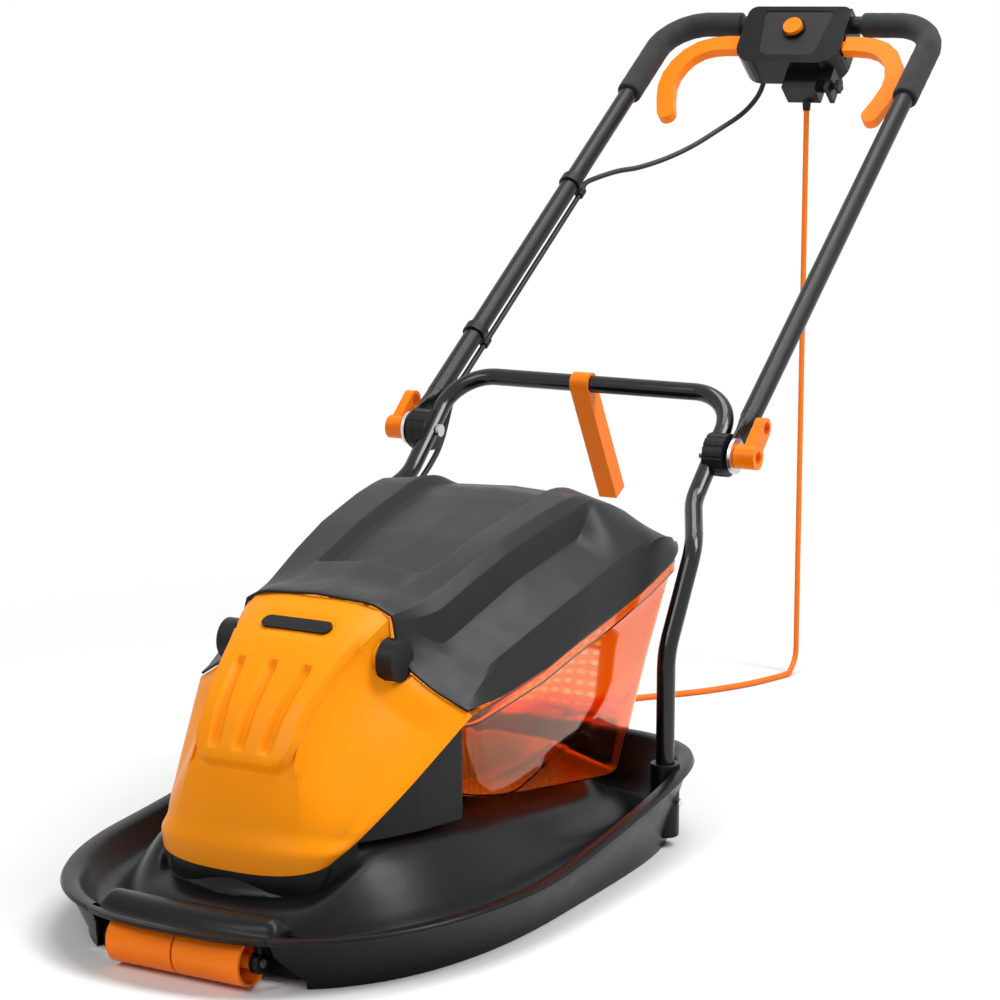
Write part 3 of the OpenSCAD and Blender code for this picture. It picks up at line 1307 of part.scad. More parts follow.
// The lead climbs a layer in the half turn where its spiral reverses
climb_share = 0.5;
function coil_rise(n) =
    let (up = [for (k = [1 : coil_layers - 1]) ramp((n - k * coil_turns) / climb_share + 0.5)])
    lead_pitch * (up * [for (x = up) 1]);
function coil_point(n) =
    let (layer = min(coil_layers - 1, floor(n / coil_turns)), t = n - layer * coil_turns,
        r = layer % 2 == 0 ? coil_outer - lead_pitch * t : coil_inner + lead_pitch * t, a = 180 + 360 * n)
    [coil_mid.x + r * cos(a), coil_mid.y + r * sin(a), coil_base + coil_rise(n)];
coil_points = [for (k = [0 : loops * loop_steps]) coil_point(k / loop_steps)];
// Route of the lead, down to the floor, along it to the coil, and from the coil to the plug
function below(back, z) = [lead_top.x, lead_top.y - back, z];
floor_points = [below(0, drop_end - seat_gap), below(0, 33), below(2, 22), below(9, 12), below(18, 6),
    below(30, lead_radius), [10, 1222, lead_radius], [-6, 1184, lead_radius], [-34, 1136, lead_radius],
    [-74, 1086, lead_radius], [-114, 1036, lead_radius], [-148, 985, lead_radius], [-168, 940, 4],
    [-178, 906, 5], [coil_mid.x - coil_outer, 884, coil_base]];
tail_points = [[-183, 846, 29], [-185, 828, 26], [-186, 812, 20], [-186, 801, 15], [-186, 793, 13],
    [-186, 786, 13]];
lead_points = concat(floor_points, coil_points, tail_points);
function least_gap(p) = min([for (i = [0 : len(p) - 1]) for (j = [i + loop_steps / 2 : 1 : len(p) - 1])
    norm(p[i] - p[j])]) - 2 * lead_radius;
plug_half = [20, 16, 17];
plug_at = [-186, 770, plug_half.z];
plug_hole = 13;
pin_half = [3, 9, 2];
pin_x = 11;
pin_rise = 4;
module mains_coil() color("#f57c12") place() {
    echo(least_gap_of_the_coil = least_gap(coil_points));
    cord(lead_points, lead_radius, 6, [0.03, 0.05, 1]);
}
module coil_tie() color("#1a1a1c") place() {
    x0 = coil_mid.x + coil_inner - lead_radius - lead_pitch;
    x1 = coil_mid.x + coil_outer + lead_radius + seat_gap;
    top = coil_base + lead_pitch * (coil_layers - 1) + lead_radius + seat_gap;
    difference() {
        block([x0 - tie_wall, coil_mid.y - tie_width / 2, 0], [x1 + tie_wall, coil_mid.y + tie_width / 2,
        top + tie_wall]);
        block([x0, coil_mid.y - tie_width, 2 * tie_wall - seat_gap], [x1, coil_mid.y + tie_width, top]);
    }
}
module mains_plug() color("#1a1a1c") place() {
    difference() {
        block(plug_at - plug_half, plug_at + plug_half);
        rod([plug_at.x, plug_at.y + plug_half.y + over, plug_hole], [plug_at.x, plug_at.y, plug_hole],
            lead_radius + seat_gap / 4);
    }
    for (x = [-pin_x, pin_x]) block(plug_at + [x, -plug_half.y - pin_half.y, pin_rise] - pin_half,
        plug_at + [x, -plug_half.y, pin_rise] + pin_half);
}

deck();
motor_housing();
hood();
badge_plate();
grass_box();
front_bar();
roller_axle();
roller_left();
roller_right();
lower_handle();
leg_screws();
ratchet_inner_left();
ratchet_inner_right();
pivot_bolts();
motor_plate();
motor_can();
upper_bearing();
lower_bearing();
plate_screws();
hood_screws();
hinge_pins();
switch_cable_lower();
motor_shaft();
rotor_core();
impeller_fan();
height_spacers();
blade();
blade_bolt();
lid();
hinge_caps();
lid_knob();
lid_prop();
upper_handle();
foam_grip_left();
foam_grip_right();
ratchet_outer_left();
ratchet_outer_right();
clamp_washers();
clamp_knob_left();
clamp_knob_right();
switch_box_top();
switch_box_bottom();
panel_plate();
button_ring();
start_button();
button_spring();
microswitch();
lever_shaft();
lever_left();
lever_right();
box_screws();
cable_gland();
cable_hook();
cable_clips();
switch_cable_upper();
mains_drop();
mains_coil();
coil_tie();
mains_plug();
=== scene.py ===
"""Looks of a hover mower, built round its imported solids.

Blender's lengths are in metres. Tables and routes are in millimetres from the roller axle, and at() turns them
into points of the part.
"""
import json
import math

import bpy
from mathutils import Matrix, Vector


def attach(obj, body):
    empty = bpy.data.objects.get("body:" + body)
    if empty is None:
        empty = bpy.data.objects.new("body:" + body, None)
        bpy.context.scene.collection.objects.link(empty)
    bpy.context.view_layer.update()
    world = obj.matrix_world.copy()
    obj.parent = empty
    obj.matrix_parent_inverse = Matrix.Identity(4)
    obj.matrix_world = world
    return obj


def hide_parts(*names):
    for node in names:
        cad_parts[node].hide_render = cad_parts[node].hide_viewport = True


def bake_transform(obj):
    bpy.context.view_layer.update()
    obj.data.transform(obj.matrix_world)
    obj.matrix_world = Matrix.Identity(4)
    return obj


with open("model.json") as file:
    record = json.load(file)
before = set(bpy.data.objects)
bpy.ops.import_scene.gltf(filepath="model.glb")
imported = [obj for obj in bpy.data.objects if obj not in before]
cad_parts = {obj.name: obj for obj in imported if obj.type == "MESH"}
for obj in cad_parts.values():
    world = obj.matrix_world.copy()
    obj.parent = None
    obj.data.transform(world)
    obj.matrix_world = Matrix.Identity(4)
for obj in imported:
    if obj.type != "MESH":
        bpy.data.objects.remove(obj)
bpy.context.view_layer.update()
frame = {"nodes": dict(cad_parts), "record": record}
nodes = frame["nodes"]
scene = bpy.context.scene
scene.view_settings.view_transform = "Standard"
body_of_node = {n: b for b, group in frame["record"]["behaviour"]["bodies"].items() for n in group}
slot_of_node = {s["node"]: s["material_slot"] for s in frame["record"]["subparts"]}

# Distance from the roller axle, where routes are measured, to the middle of the machine
MID = 0.66275
# Points closer than this are joined
MERGE_DISTANCE = 0.00005
# Edges flatter than these angles are shaded smooth, or left without a soft edge
TUBE_SMOOTH = math.radians(50)
SHELL_SMOOTH = math.radians(32)
SOFT_ANGLE = math.radians(30)
SHELL_EDGE_SEGMENTS = 2
POST_SIDES = 56


def at(x, y, z):
    """A point given in millimetres from the roller axle, as a point of the part."""
    return Vector((x / 1000, y / 1000 - MID, z / 1000))


def ease(t):
    """A share from 0 to 1 that starts and ends gently."""
    t = min(1, max(0, t))
    return t * t * (3 - 2 * t)


def rising(value, start, run):
    """0 before a start, 1 after the run that follows it, and eased between them."""
    return ease((value - start) / run)


def blend_value(a, b, t):
    return a + (b - a) * t


def on_curve(a, b, c, d, t):
    """Place at a share of the way from b to c, on a smooth curve through four points or numbers."""
    return 0.5 * (2 * b + t * (c - a) + t * t * (2 * a - 5 * b + 4 * c - d) + t ** 3 * (3 * b - a - 3 * c + d))


def curve_points(points, steps):
    """Points on a smooth curve through the given ones."""
    last = len(points) - 1
    out = []
    for k in range(last):
        four = points[max(0, k - 1)], points[k], points[k + 1], points[min(last, k + 2)]
        out += [on_curve(*four, s / steps) for s in range(steps)]
    return out + [points[-1]]


def along_table(table, t):
    """Values at a share of the way along a table, on a smooth curve through its rows."""
    last = len(table) - 1
    k = min(last - 1, max(0, int(t * last)))
    four = table[max(0, k - 1)], table[k], table[k + 1], table[min(last, k + 2)]
    return [on_curve(*values, t * last - k) for values in zip(*four)]


def from_table(table, y):
    """Values at a distance back, drawn straight between a table's rows."""
    for a, b in zip(table, table[1:]):
        if y <= b[0]:
            t = max(0, (y - a[0]) / (b[0] - a[0]))
            return [blend_value(p, q, t) for p, q in zip(a[1:], b[1:])]
    return list(table[-1][1:])


def between(points, t):
    """Place at a share of the way along points."""
    s = t * (len(points) - 1)
    k = min(len(points) - 2, int(s))
    return tuple(blend_value(a, b, s - k) for a, b in zip(points[k], points[k + 1]))


def add_piece(name, data):
    """A new object of the scene for a mesh, a curve, a lamp or a camera."""
    piece = bpy.data.objects.new(name, data)
    scene.collection.objects.link(piece)
    return piece


def only(piece):
    """Selects one piece and makes it active."""
    bpy.ops.object.select_all(action="DESELECT")
    piece.hide_viewport = False
    piece.select_set(True)
    bpy.context.view_layer.objects.active = piece


def settled():
    """Applies the place, turn and scale of the piece that was just added, and returns it."""
    bpy.ops.object.transform_apply(location=True, rotation=True, scale=True)
    return bpy.context.object


def tube(name, points, radius, radii=None, roundness=3):
    """A round tube along points, as a mesh."""
    data = bpy.data.curves.new(name, "CURVE")
    data.dimensions = "3D"
    data.bevel_depth = radius
    data.bevel_resolution = roundness
    data.use_fill_caps = True
    spline = data.splines.new("POLY")
    spline.points.add(len(points) - 1)
    for k, p in enumerate(points):
        spline.points[k].co = (*p, 1)
        spline.points[k].radius = 1 if radii is None else radii[k]
    only(add_piece(name, data))
    bpy.ops.object.convert(target="MESH")
    bpy.ops.object.shade_smooth_by_angle(angle=TUBE_SMOOTH)
    return bpy.context.object


def loft(name, rows, closed):
    """A grid of quads through rows of points."""
    across = len(rows[0])
    faces = []
    for r in range(len(rows) - 1):
        for k in range(across if closed else across - 1):
            a, b = r * across + k, r * across + (k + 1) % across
            faces.append((a, b, b + across, a + across))
    mesh = bpy.data.meshes.new(name)
    mesh.from_pydata([p for row in rows for p in row], [], faces)
    return add_piece(name, mesh)


def turn_outward(piece):
    """Joins points that coincide and turns all faces to the outside."""
    only(piece)
    bpy.ops.object.mode_set(mode="EDIT")
    bpy.ops.mesh.select_all(action="SELECT")
    bpy.ops.mesh.remove_doubles(threshold=MERGE_DISTANCE)
    bpy.ops.mesh.normals_make_consistent(inside=False)
    bpy.ops.object.mode_set(mode="OBJECT")


def soften(piece, width, segments=3, angle=SOFT_ANGLE):
    """Rounds the sharp edges of a piece."""
    only(piece)
    edge = piece.modifiers.new("edge", "BEVEL")
    edge.width = width
    edge.segments = segments
    edge.limit_method = "ANGLE"
    edge.angle_limit = angle
    bpy.ops.object.modifier_apply(modifier="edge")


def finish_shell(piece, wall, edge, angle):
    """Gives a loft its wall towards the inside, and softens its sharp edges."""
    turn_outward(piece)
    thick = piece.modifiers.new("wall", "SOLIDIFY")
    thick.thickness = wall
    thick.offset = -1
    bpy.ops.object.modifier_apply(modifier="wall")
    soften(piece, edge, SHELL_EDGE_SEGMENTS, angle)
    bpy.ops.object.shade_smooth_by_angle(angle=SHELL_SMOOTH)


def cut_away(piece, tool):
    """Takes the tool's room out of a piece, and removes the tool."""
    only(piece)
    cut = piece.modifiers.new("cut", "BOOLEAN")
    cut.operation = "DIFFERENCE"
    cut.object = tool
    cut.solver = "EXACT"
    bpy.ops.object.modifier_apply(modifier="cut")
    bpy.data.objects.remove(tool)


def add_to(piece, others):
    """Joins other pieces to a piece as one object."""
    only(piece)
    for other in others:
        other.select_set(True)
    bpy.ops.object.join()
    bpy.ops.object.shade_smooth_by_angle(angle=SHELL_SMOOTH)


def box_between(low, high):
    bpy.ops.mesh.primitive_cube_add(size=1, location=at(*((a + b) / 2 for a, b in zip(low, high))))
    bpy.context.object.scale = [abs(b - a) / 1000 for a, b in zip(low, high)]
    return settled()


def post_at(x, y, foot, top, radius):
    bpy.ops.mesh.primitive_cylinder_add(vertices=POST_SIDES, radius=radius / 1000, depth=(top - foot) / 1000,
                                        location=at(x, y, (foot + top) / 2))
    return settled()


def rod_across(x0, x1, y, z, radius, sides):
    """A cylinder across the machine."""
    bpy.ops.mesh.primitive_cylinder_add(vertices=sides, radius=radius / 1000, depth=abs(x1 - x0) / 1000,
                                        location=at((x0 + x1) / 2, y, z), rotation=(0, math.pi / 2, 0))
    return settled()


# Camera at the photograph's view
CAMERA_PLACE = Vector((1.3870, -2.5672, 0.8494))
CAMERA_AZIMUTH = math.radians(29.29)
CAMERA_ELEVATION = math.radians(10.23)
CAMERA_LENS_MM = 99.67
CAMERA_SENSOR_MM = 36
CAMERA_REACH = 50


def aim(piece, way):
    """Turns a camera or a lamp to look along a direction."""
    piece.rotation_mode = "QUATERNION"
    piece.rotation_quaternion = way.to_track_quat("-Z", "Y")


def make_camera():
    data = bpy.data.cameras.new("camera")
    data.lens = CAMERA_LENS_MM
    data.sensor_width = CAMERA_SENSOR_MM
    data.clip_end = CAMERA_REACH
    camera = add_piece("camera", data)
    flat = math.cos(CAMERA_ELEVATION)
    back = Vector((math.sin(CAMERA_AZIMUTH) * flat, -math.cos(CAMERA_AZIMUTH) * flat, math.sin(CAMERA_ELEVATION)))
    camera.location = CAMERA_PLACE
    aim(camera, -back)
    scene.camera = camera


make_camera()

# Effects that several finishes share
NOISE_LOW, NOISE_HIGH = 0.3, 0.7
BROAD_SCALE, PATCH_SCALE = 7.0, 45.0
PATCH_DETAIL, GRAIN_DETAIL = 5.0, 2.0
COAT_ROUGHNESS = 0.08


def effect(name, inputs, outputs):
    """An empty shader group with its sockets, and the two ends that its nodes join."""
    tree = bpy.data.node_groups.new(name, "ShaderNodeTree")
    for label, kind, value in inputs:
        socket = tree.interface.new_socket(label, in_out="INPUT", socket_type=kind)
        socket.default_value = value
    for label, kind in outputs:
        tree.interface.new_socket(label, in_out="OUTPUT", socket_type=kind)
    return tree, tree.nodes.new("NodeGroupInput"), tree.nodes.new("NodeGroupOutput")


def feed(tree, socket, value):
    """Sets a socket to a number, or links another socket to it."""
    if isinstance(value, (int, float)):
        socket.default_value = value
    else:
        tree.links.new(value, socket)


def noise(tree, place, scale, detail=3.0):
    node = tree.nodes.new("ShaderNodeTexNoise")
    node.inputs["Detail"].default_value = detail
    tree.links.new(place, node.inputs["Vector"])
    feed(tree, node.inputs["Scale"], scale)
    return node.outputs["Fac"]


def sums(tree, kind, a, b):
    """A sum of two numbers or sockets."""
    node = tree.nodes.new("ShaderNodeMath")
    node.operation = kind
    feed(tree, node.inputs[0], a)
    feed(tree, node.inputs[1], b)
    return node.outputs[0]


def spread(tree, value, middle, change):
    """Moves a noise value to a range that reaches as far as the change to each side of a middle."""
    node = tree.nodes.new("ShaderNodeMapRange")
    tree.links.new(value, node.inputs["Value"])
    node.inputs["From Min"].default_value = NOISE_LOW
    node.inputs["From Max"].default_value = NOISE_HIGH
    tree.links.new(sums(tree, "SUBTRACT", middle, change), node.inputs["To Min"])
    tree.links.new(sums(tree, "ADD", middle, change), node.inputs["To Max"])
    return node.outputs["Result"]


def moulded_effect():
    """Tone, gloss and grain of a moulded or painted skin."""
    tree, start, end = effect("moulded skin", [
        ("Color", "NodeSocketColor", (1, 1, 1, 1)), ("Tone", "NodeSocketFloat", 0.1),
        ("Roughness", "NodeSocketFloat", 0.4), ("Gloss change", "NodeSocketFloat", 0.05),
        ("Grain size", "NodeSocketFloat", 900.0), ("Stretch", "NodeSocketFloat", 1.0)],
        [("Color", "NodeSocketColor"), ("Roughness", "NodeSocketFloat"), ("Height", "NodeSocketFloat")])
    place = tree.nodes.new("ShaderNodeTexCoord").outputs["Object"]
    light = spread(tree, noise(tree, place, BROAD_SCALE), 1.0, start.outputs["Tone"])
    tint = tree.nodes.new("ShaderNodeVectorMath")
    tint.operation = "SCALE"
    tree.links.new(start.outputs["Color"], tint.inputs[0])
    tree.links.new(light, tint.inputs["Scale"])
    tree.links.new(tint.outputs["Vector"], end.inputs["Color"])
    patch = noise(tree, place, PATCH_SCALE, PATCH_DETAIL)
    gloss = spread(tree, patch, start.outputs["Roughness"], start.outputs["Gloss change"])
    tree.links.new(gloss, end.inputs["Roughness"])
    squeeze = tree.nodes.new("ShaderNodeCombineXYZ")
    squeeze.inputs["X"].default_value = 1
    squeeze.inputs["Y"].default_value = 1
    tree.links.new(start.outputs["Stretch"], squeeze.inputs["Z"])
    scaled = tree.nodes.new("ShaderNodeVectorMath")
    scaled.operation = "MULTIPLY"
    tree.links.new(place, scaled.inputs[0])
    tree.links.new(squeeze.outputs[0], scaled.inputs[1])
    grain = noise(tree, scaled.outputs["Vector"], start.outputs["Grain size"], GRAIN_DETAIL)
    tree.links.new(grain, end.inputs["Height"])
    return tree


MOULDED = moulded_effect()


def make_finish(name, color, roughness, tone, gloss, grain, bump, depth=0.0004, stretch=1.0, metallic=0.0,
                coat=0.0, transmission=0.0, sheen=0.0, specular=0.5):
    """A material with the shared skin effect and its own plain values."""
    material = bpy.data.materials.new(name)
    material.use_nodes = True
    tree = material.node_tree
    shader = tree.nodes["Principled BSDF"]
    skin = tree.nodes.new("ShaderNodeGroup")
    skin.node_tree = MOULDED
    relief = tree.nodes.new("ShaderNodeBump")
    values = (
        (skin, (("Color", (*color, 1)), ("Tone", tone), ("Roughness", roughness), ("Gloss change", gloss),
                ("Grain size", grain), ("Stretch", stretch))),
        (relief, (("Strength", bump), ("Distance", depth))),
        (shader, (("Metallic", metallic), ("Coat Weight", coat), ("Coat Roughness", COAT_ROUGHNESS),
                  ("Transmission Weight", transmission), ("Sheen Weight", sheen),
                  ("Specular IOR Level", specular))))
    for node, pairs in values:
        for label, value in pairs:
            node.inputs[label].default_value = value
    tree.links.new(skin.outputs["Color"], shader.inputs["Base Color"])
    tree.links.new(skin.outputs["Roughness"], shader.inputs["Roughness"])
    tree.links.new(skin.outputs["Height"], relief.inputs["Height"])
    tree.links.new(relief.outputs["Normal"], shader.inputs["Normal"])
    return material


# Looks of each finish
FINISH_VALUES = {
    "hood_orange": dict(
        color=(0.98, 0.30, 0.0), roughness=0.36, tone=0.03, gloss=0.03, grain=1400.0, bump=0.02, specular=0.16),
    "trim_orange": dict(
        color=(0.96, 0.20, 0.0), roughness=0.34, tone=0.04, gloss=0.04, grain=1100.0, bump=0.02, specular=0.2),
    "deck_black": dict(
        color=(0.006, 0.006, 0.007), roughness=0.3, tone=0.12, gloss=0.03, grain=900.0, bump=0.008, specular=0.16),
    "lid_charcoal": dict(
        color=(0.010, 0.010, 0.011), roughness=0.42, tone=0.06, gloss=0.04, grain=1500.0, bump=0.1, specular=0.24),
    "housing_grey": dict(
        color=(0.014, 0.014, 0.015), roughness=0.5, tone=0.06, gloss=0.04, grain=1200.0, bump=0.08, specular=0.2),
    "gloss_black": dict(
        color=(0.005, 0.005, 0.006), roughness=0.2, tone=0.1, gloss=0.03, grain=500.0, bump=0.008, specular=0.22),
    "clip_black": dict(
        color=(0.008, 0.008, 0.009), roughness=0.4, tone=0.1, gloss=0.04, grain=1200.0, bump=0.06, specular=0.2),
    "tube_gloss": dict(
        color=(0.004, 0.004, 0.005), roughness=0.16, tone=0.1, gloss=0.03, grain=350.0, bump=0.006, coat=0.2,
        specular=0.3),
    "tube_satin": dict(
        color=(0.005, 0.005, 0.006), roughness=0.34, tone=0.1, gloss=0.04, grain=600.0, bump=0.03, specular=0.25),
    "grip_foam": dict(
        color=(0.009, 0.009, 0.010), roughness=0.85, tone=0.2, gloss=0.08, grain=1600.0, bump=0.5,
        depth=0.0008, sheen=0.06),
    "clear_orange": dict(
        color=(0.99, 0.33, 0.04), roughness=0.06, tone=0.03, gloss=0.02, grain=300.0, bump=0.01, transmission=1.0),
    "zinc": dict(
        color=(0.62, 0.63, 0.65), roughness=0.3, tone=0.08, gloss=0.08, grain=500.0, bump=0.05, metallic=1.0),
    "steel": dict(
        color=(0.52, 0.53, 0.55), roughness=0.32, tone=0.08, gloss=0.08, grain=260.0, bump=0.1, stretch=0.05,
        metallic=1.0),
    "iron_core": dict(
        color=(0.18, 0.1, 0.05), roughness=0.45, tone=0.2, gloss=0.1, grain=300.0, bump=0.2, metallic=0.6),
    "cable_rubber": dict(
        color=(0.009, 0.009, 0.010), roughness=0.5, tone=0.1, gloss=0.06, grain=900.0, bump=0.1, specular=0.35),
    "lead_rubber": dict(
        color=(0.90, 0.18, 0.003), roughness=0.48, tone=0.06, gloss=0.05, grain=900.0, bump=0.08, specular=0.3),
}
finishes = {name: make_finish(name, **values) for name, values in FINISH_VALUES.items()}
# Slots whose finish has another name than the slot, and nodes with a finish of their own
finish_of_slot = {"black_plastic": "clip_black", "dark_plastic": "lid_charcoal", "orange_plastic": "trim_orange",
                  "tube_paint": "tube_satin", "foam": "grip_foam"}
own_finish = {
    "deck": "deck_black", "front_bar": "deck_black", "hood": "hood_orange", "motor_housing": "housing_grey",
    "lower_handle": "tube_gloss", "badge_plate": "gloss_black", "hinge_caps": "clip_black"}


def finish_for(node_name):
    slot = slot_of_node[node_name]
    return own_finish.get(node_name, finish_of_slot.get(slot, slot))


def dress(piece, finish):
    piece.data.materials.clear()
    piece.data.materials.append(finishes[finish])


for name, node in nodes.items():
    dress(node, finish_for(name))


def take_place(piece, *replaced):
    """A new piece stands for CAD nodes, rides on their body and has their finish."""
    first = replaced[0]
    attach(piece, body_of_node[first])
    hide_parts(*replaced)
    dress(piece, finish_for(first))


# Lid of the grass box: tray in the middle, a ridge and a long step at each side
LID_WALL, LID_EDGE, LID_EDGE_ANGLE = 0.0025, 0.0012, math.radians(20)
LID_REAR = 666
LID_END_LEVEL = 292
LID_NARROW, LID_NARROW_START = 0.1, 600
LID_TURN_BACK, LID_TURN_DOWN = 1.5, 3
LID_FRONT = ((0, 217.7, 305.2), (56, 217.9, 302), (65, 218, 300), (81, 220.5, 291.4), (83, 220.5, 285),
             (84, 220.5, 279.3), (140.3, 237.1, 211.2), (145, 239, 208.5), (150, 241, 205.5))
LID_FRONT_SIDE = ((84, 220.5, 279.3), (87, 220.6, 262.1), (99.7, 223.9, 240.5), (119.7, 230.4, 223.6),
                  (140.3, 237.1, 211.2))
LID_FRONT_SIDE_SPAN = 5
LID_FRONT_RUN = 60
# Columns in each span of the section, and where each of its points starts to fall
LID_PARTS = (10, 4, 6, 3, 4, 10, 3, 6)
LID_FALL_STARTS = (510, 510, 505, 490, 495, 500, 545, 560, 700)
# Shares of the way back at which rows are drawn, closer together where the tray starts
LID_REACHES = [0, 0.012, 0.03, 0.05, 0.075, 0.1, 0.125, 0.15, 0.175, 0.19, 0.2, 0.21, 0.22, 0.23, 0.245] + [
    0.27 + 0.73 * k / 44 for k in range(45)]
# Where a change along the lid starts, and its run
TRAY_SINKS, TRAY_RISES = (310, 8), (570, 60)
SHOULDER_FADES = (500, 42)
STEP_OPENS, STEP_SHUTS = (250, 100), (545, 60)
# Levels of the tray against its rim, without and with the tray sunk
TRAY_MIDDLE, TRAY_EDGE, TRAY_EDGE_IN = (8, -8), (2, -12), 8
SHOULDER_OUT, SHOULDER_DOWN, SHOULDER_RISE = 9, 12, 8
LID_FOOT_OUT, LID_FOOT_DOWN = 14, 8
STEP_FOOT_OUT, STEP_FOOT_DOWN, STEP_DEPTH = 2.5, 1, 11
# Each row: distance back, then half width and level there, or the level alone
LID_LIP = ((225, 136, 193), (242, 143, 195), (269, 150, 201), (305, 160, 211), (361, 168, 222), (419, 172.5, 237),
           (495, 174.5, 251), (575, 174.5, 267), (631, 174.5, 283), (680, 174.5, 296))
LID_RIDGE = ((215, 77, 284), (241, 81, 288), (279, 90, 300), (329, 96, 318), (386, 102, 336), (460, 108, 352),
             (520, 112, 361), (600, 115, 364), (680, 115, 364))
LID_FOOT = ((215, 240), (234, 245), (284, 258), (337, 277), (393, 296), (466, 312), (520, 322), (680, 350))
LID_STEP = ((225, 136, 220), (269, 142, 232), (323, 150, 249), (379, 158, 267), (442, 164, 284), (519, 165, 300),
            (600, 165, 312), (680, 165, 320))
LID_RIM = ((215, 56, 288), (321, 62, 315), (369, 66, 328), (403, 69, 337), (440, 72, 344), (520, 76, 360),
           (680, 78, 392))


def lip_level(y):
    return from_table(LID_LIP, y)[1]


def lip_share(y):
    """Width of the lid at a distance back, as a share of its greatest width."""
    return from_table(LID_LIP, y)[0] / LID_LIP[-1][1]


def lid_section(y):
    """Half section of the lid: tray, tray edge, rim, ridge, shoulder, foot, step, step foot, lip."""
    rim_x, rim = from_table(LID_RIM, y)
    ridge_x, ridge = from_table(LID_RIDGE, y)
    foot = from_table(LID_FOOT, y)[0]
    step_x, step = from_table(LID_STEP, y)
    lip_x, lip = from_table(LID_LIP, y)
    sunk = rising(y, *TRAY_SINKS) * (1 - rising(y, *TRAY_RISES))
    faded = rising(y, *SHOULDER_FADES)
    stepped = rising(y, *STEP_OPENS) * (1 - rising(y, *STEP_SHUTS))
    tray, tray_edge = (blend_value(rim + flat, rim + low, sunk) for flat, low in (TRAY_MIDDLE, TRAY_EDGE))
    points = [(0, tray), (rim_x - TRAY_EDGE_IN, tray_edge), (rim_x, rim), (ridge_x, ridge),
              (ridge_x + SHOULDER_OUT, ridge - SHOULDER_DOWN + SHOULDER_RISE * faded),
              (ridge_x + LID_FOOT_OUT, blend_value(foot, ridge - LID_FOOT_DOWN, faded)), (step_x, step),
              (step_x + STEP_FOOT_OUT, step - STEP_FOOT_DOWN - STEP_DEPTH * stepped), (lip_x, lip)]
    narrow = 1 - LID_NARROW * max(0, (y - LID_NARROW_START) / (LID_REAR - LID_NARROW_START)) ** 3
    out = []
    for (x, z), start in zip(points, LID_FALL_STARTS):
        fall = max(0, (y - start) / (LID_REAR - start)) ** 2 if start < LID_REAR else 0
        out.append((x * narrow, blend_value(z, LID_END_LEVEL, fall)))
    return out


def lid_columns():
    """Pairs of section span and share along it, from the middle to the lip."""
    return [(k, s / n) for k, n in enumerate(LID_PARTS) for s in range(n)] + [(len(LID_PARTS) - 1, 1)]


def lid_row(reach):
    """Half row of the lid from the middle to the lip, at a share of the way back."""
    row = []
    for span, share in lid_columns():
        front = between(LID_FRONT_SIDE if span == LID_FRONT_SIDE_SPAN else LID_FRONT[span:span + 2], share)
        y = blend_value(front[1], LID_REAR, reach)
        here, first = lid_section(y), lid_section(front[1])
        x, z = between(here[span:span + 2], share)
        x0, z0 = between(first[span:span + 2], share)
        near = 1 - rising(y, front[1], LID_FRONT_RUN)
        row.append((x + (front[0] - x0) * near, y, z + (front[2] - z0) * near))
    return row


def mirrored(row):
    return [(-x, y, z) for x, y, z in reversed(row[1:])] + list(row)


def make_lid():
    rows = [mirrored(lid_row(r)) for r in LID_REACHES]
    rows.append([(x, y + LID_TURN_BACK, min(z - LID_TURN_DOWN, lip_level(LID_REAR))) for x, y, z in rows[-1]])
    lid = loft("lid_shell", [[at(*p) for p in row] for row in rows], False)
    finish_shell(lid, LID_WALL, LID_EDGE, LID_EDGE_ANGLE)
    take_place(lid, "lid")


make_lid()

# Grass box of clear plastic under the lid
BOX_WALL, BOX_EDGE, BOX_EDGE_ANGLE = 0.0022, 0.0012, math.radians(28)
BOX_CORNER_STEPS, BOX_SIDE_STEPS, BOX_SIDE_LEAST = 12, 16, 30
BOX_TALL_STEPS, BOX_LOW_STEPS, BOX_TALL = 5, 2, 12
BOX_FLOOR, BOX_FLOOR_HALF = 101.8, 96
# Bottom of the walls: it falls from the front and never lies lower than the least
BOX_FOOT_FRONT, BOX_FOOT_LEVEL, BOX_FOOT_FALL, BOX_FOOT_LEAST = 288, 105, 0.15, 70
CREASE_FRONT, CREASE_LEVEL, CREASE_RISE, CREASE_LEAST = 320, 105, 0.3375, 6
# Slots of the rear wall: one cutter, repeated across and upwards
SLOT_SIZE, SLOT_FIRST = (0.0095, 0.14, 0.0055), (-98, 610, 128)
SLOT_ROWS = ((15, (0.014, 0, 0)), (9, (0, 0, 0.0105)))


def box_corner_plan(half, near, far, radius):
    """Points round a rectangle with round corners."""
    out = []
    for cx, cy, start in ((half - radius, far - radius, 0), (radius - half, far - radius, 90),
                          (radius - half, near + radius, 180), (half - radius, near + radius, 270)):
        for k in range(BOX_CORNER_STEPS + 1):
            a = math.radians(start + 90 * k / BOX_CORNER_STEPS)
            out.append((cx + radius * math.cos(a), cy + radius * math.sin(a)))
    full = []
    for here, there in zip(out, out[1:] + out[:1]):
        full.append(here)
        if math.dist(here, there) > BOX_SIDE_LEAST:
            shares = [s / BOX_SIDE_STEPS for s in range(1, BOX_SIDE_STEPS)]
            full += [tuple(blend_value(p, q, t) for p, q in zip(here, there)) for t in shares]
    return full


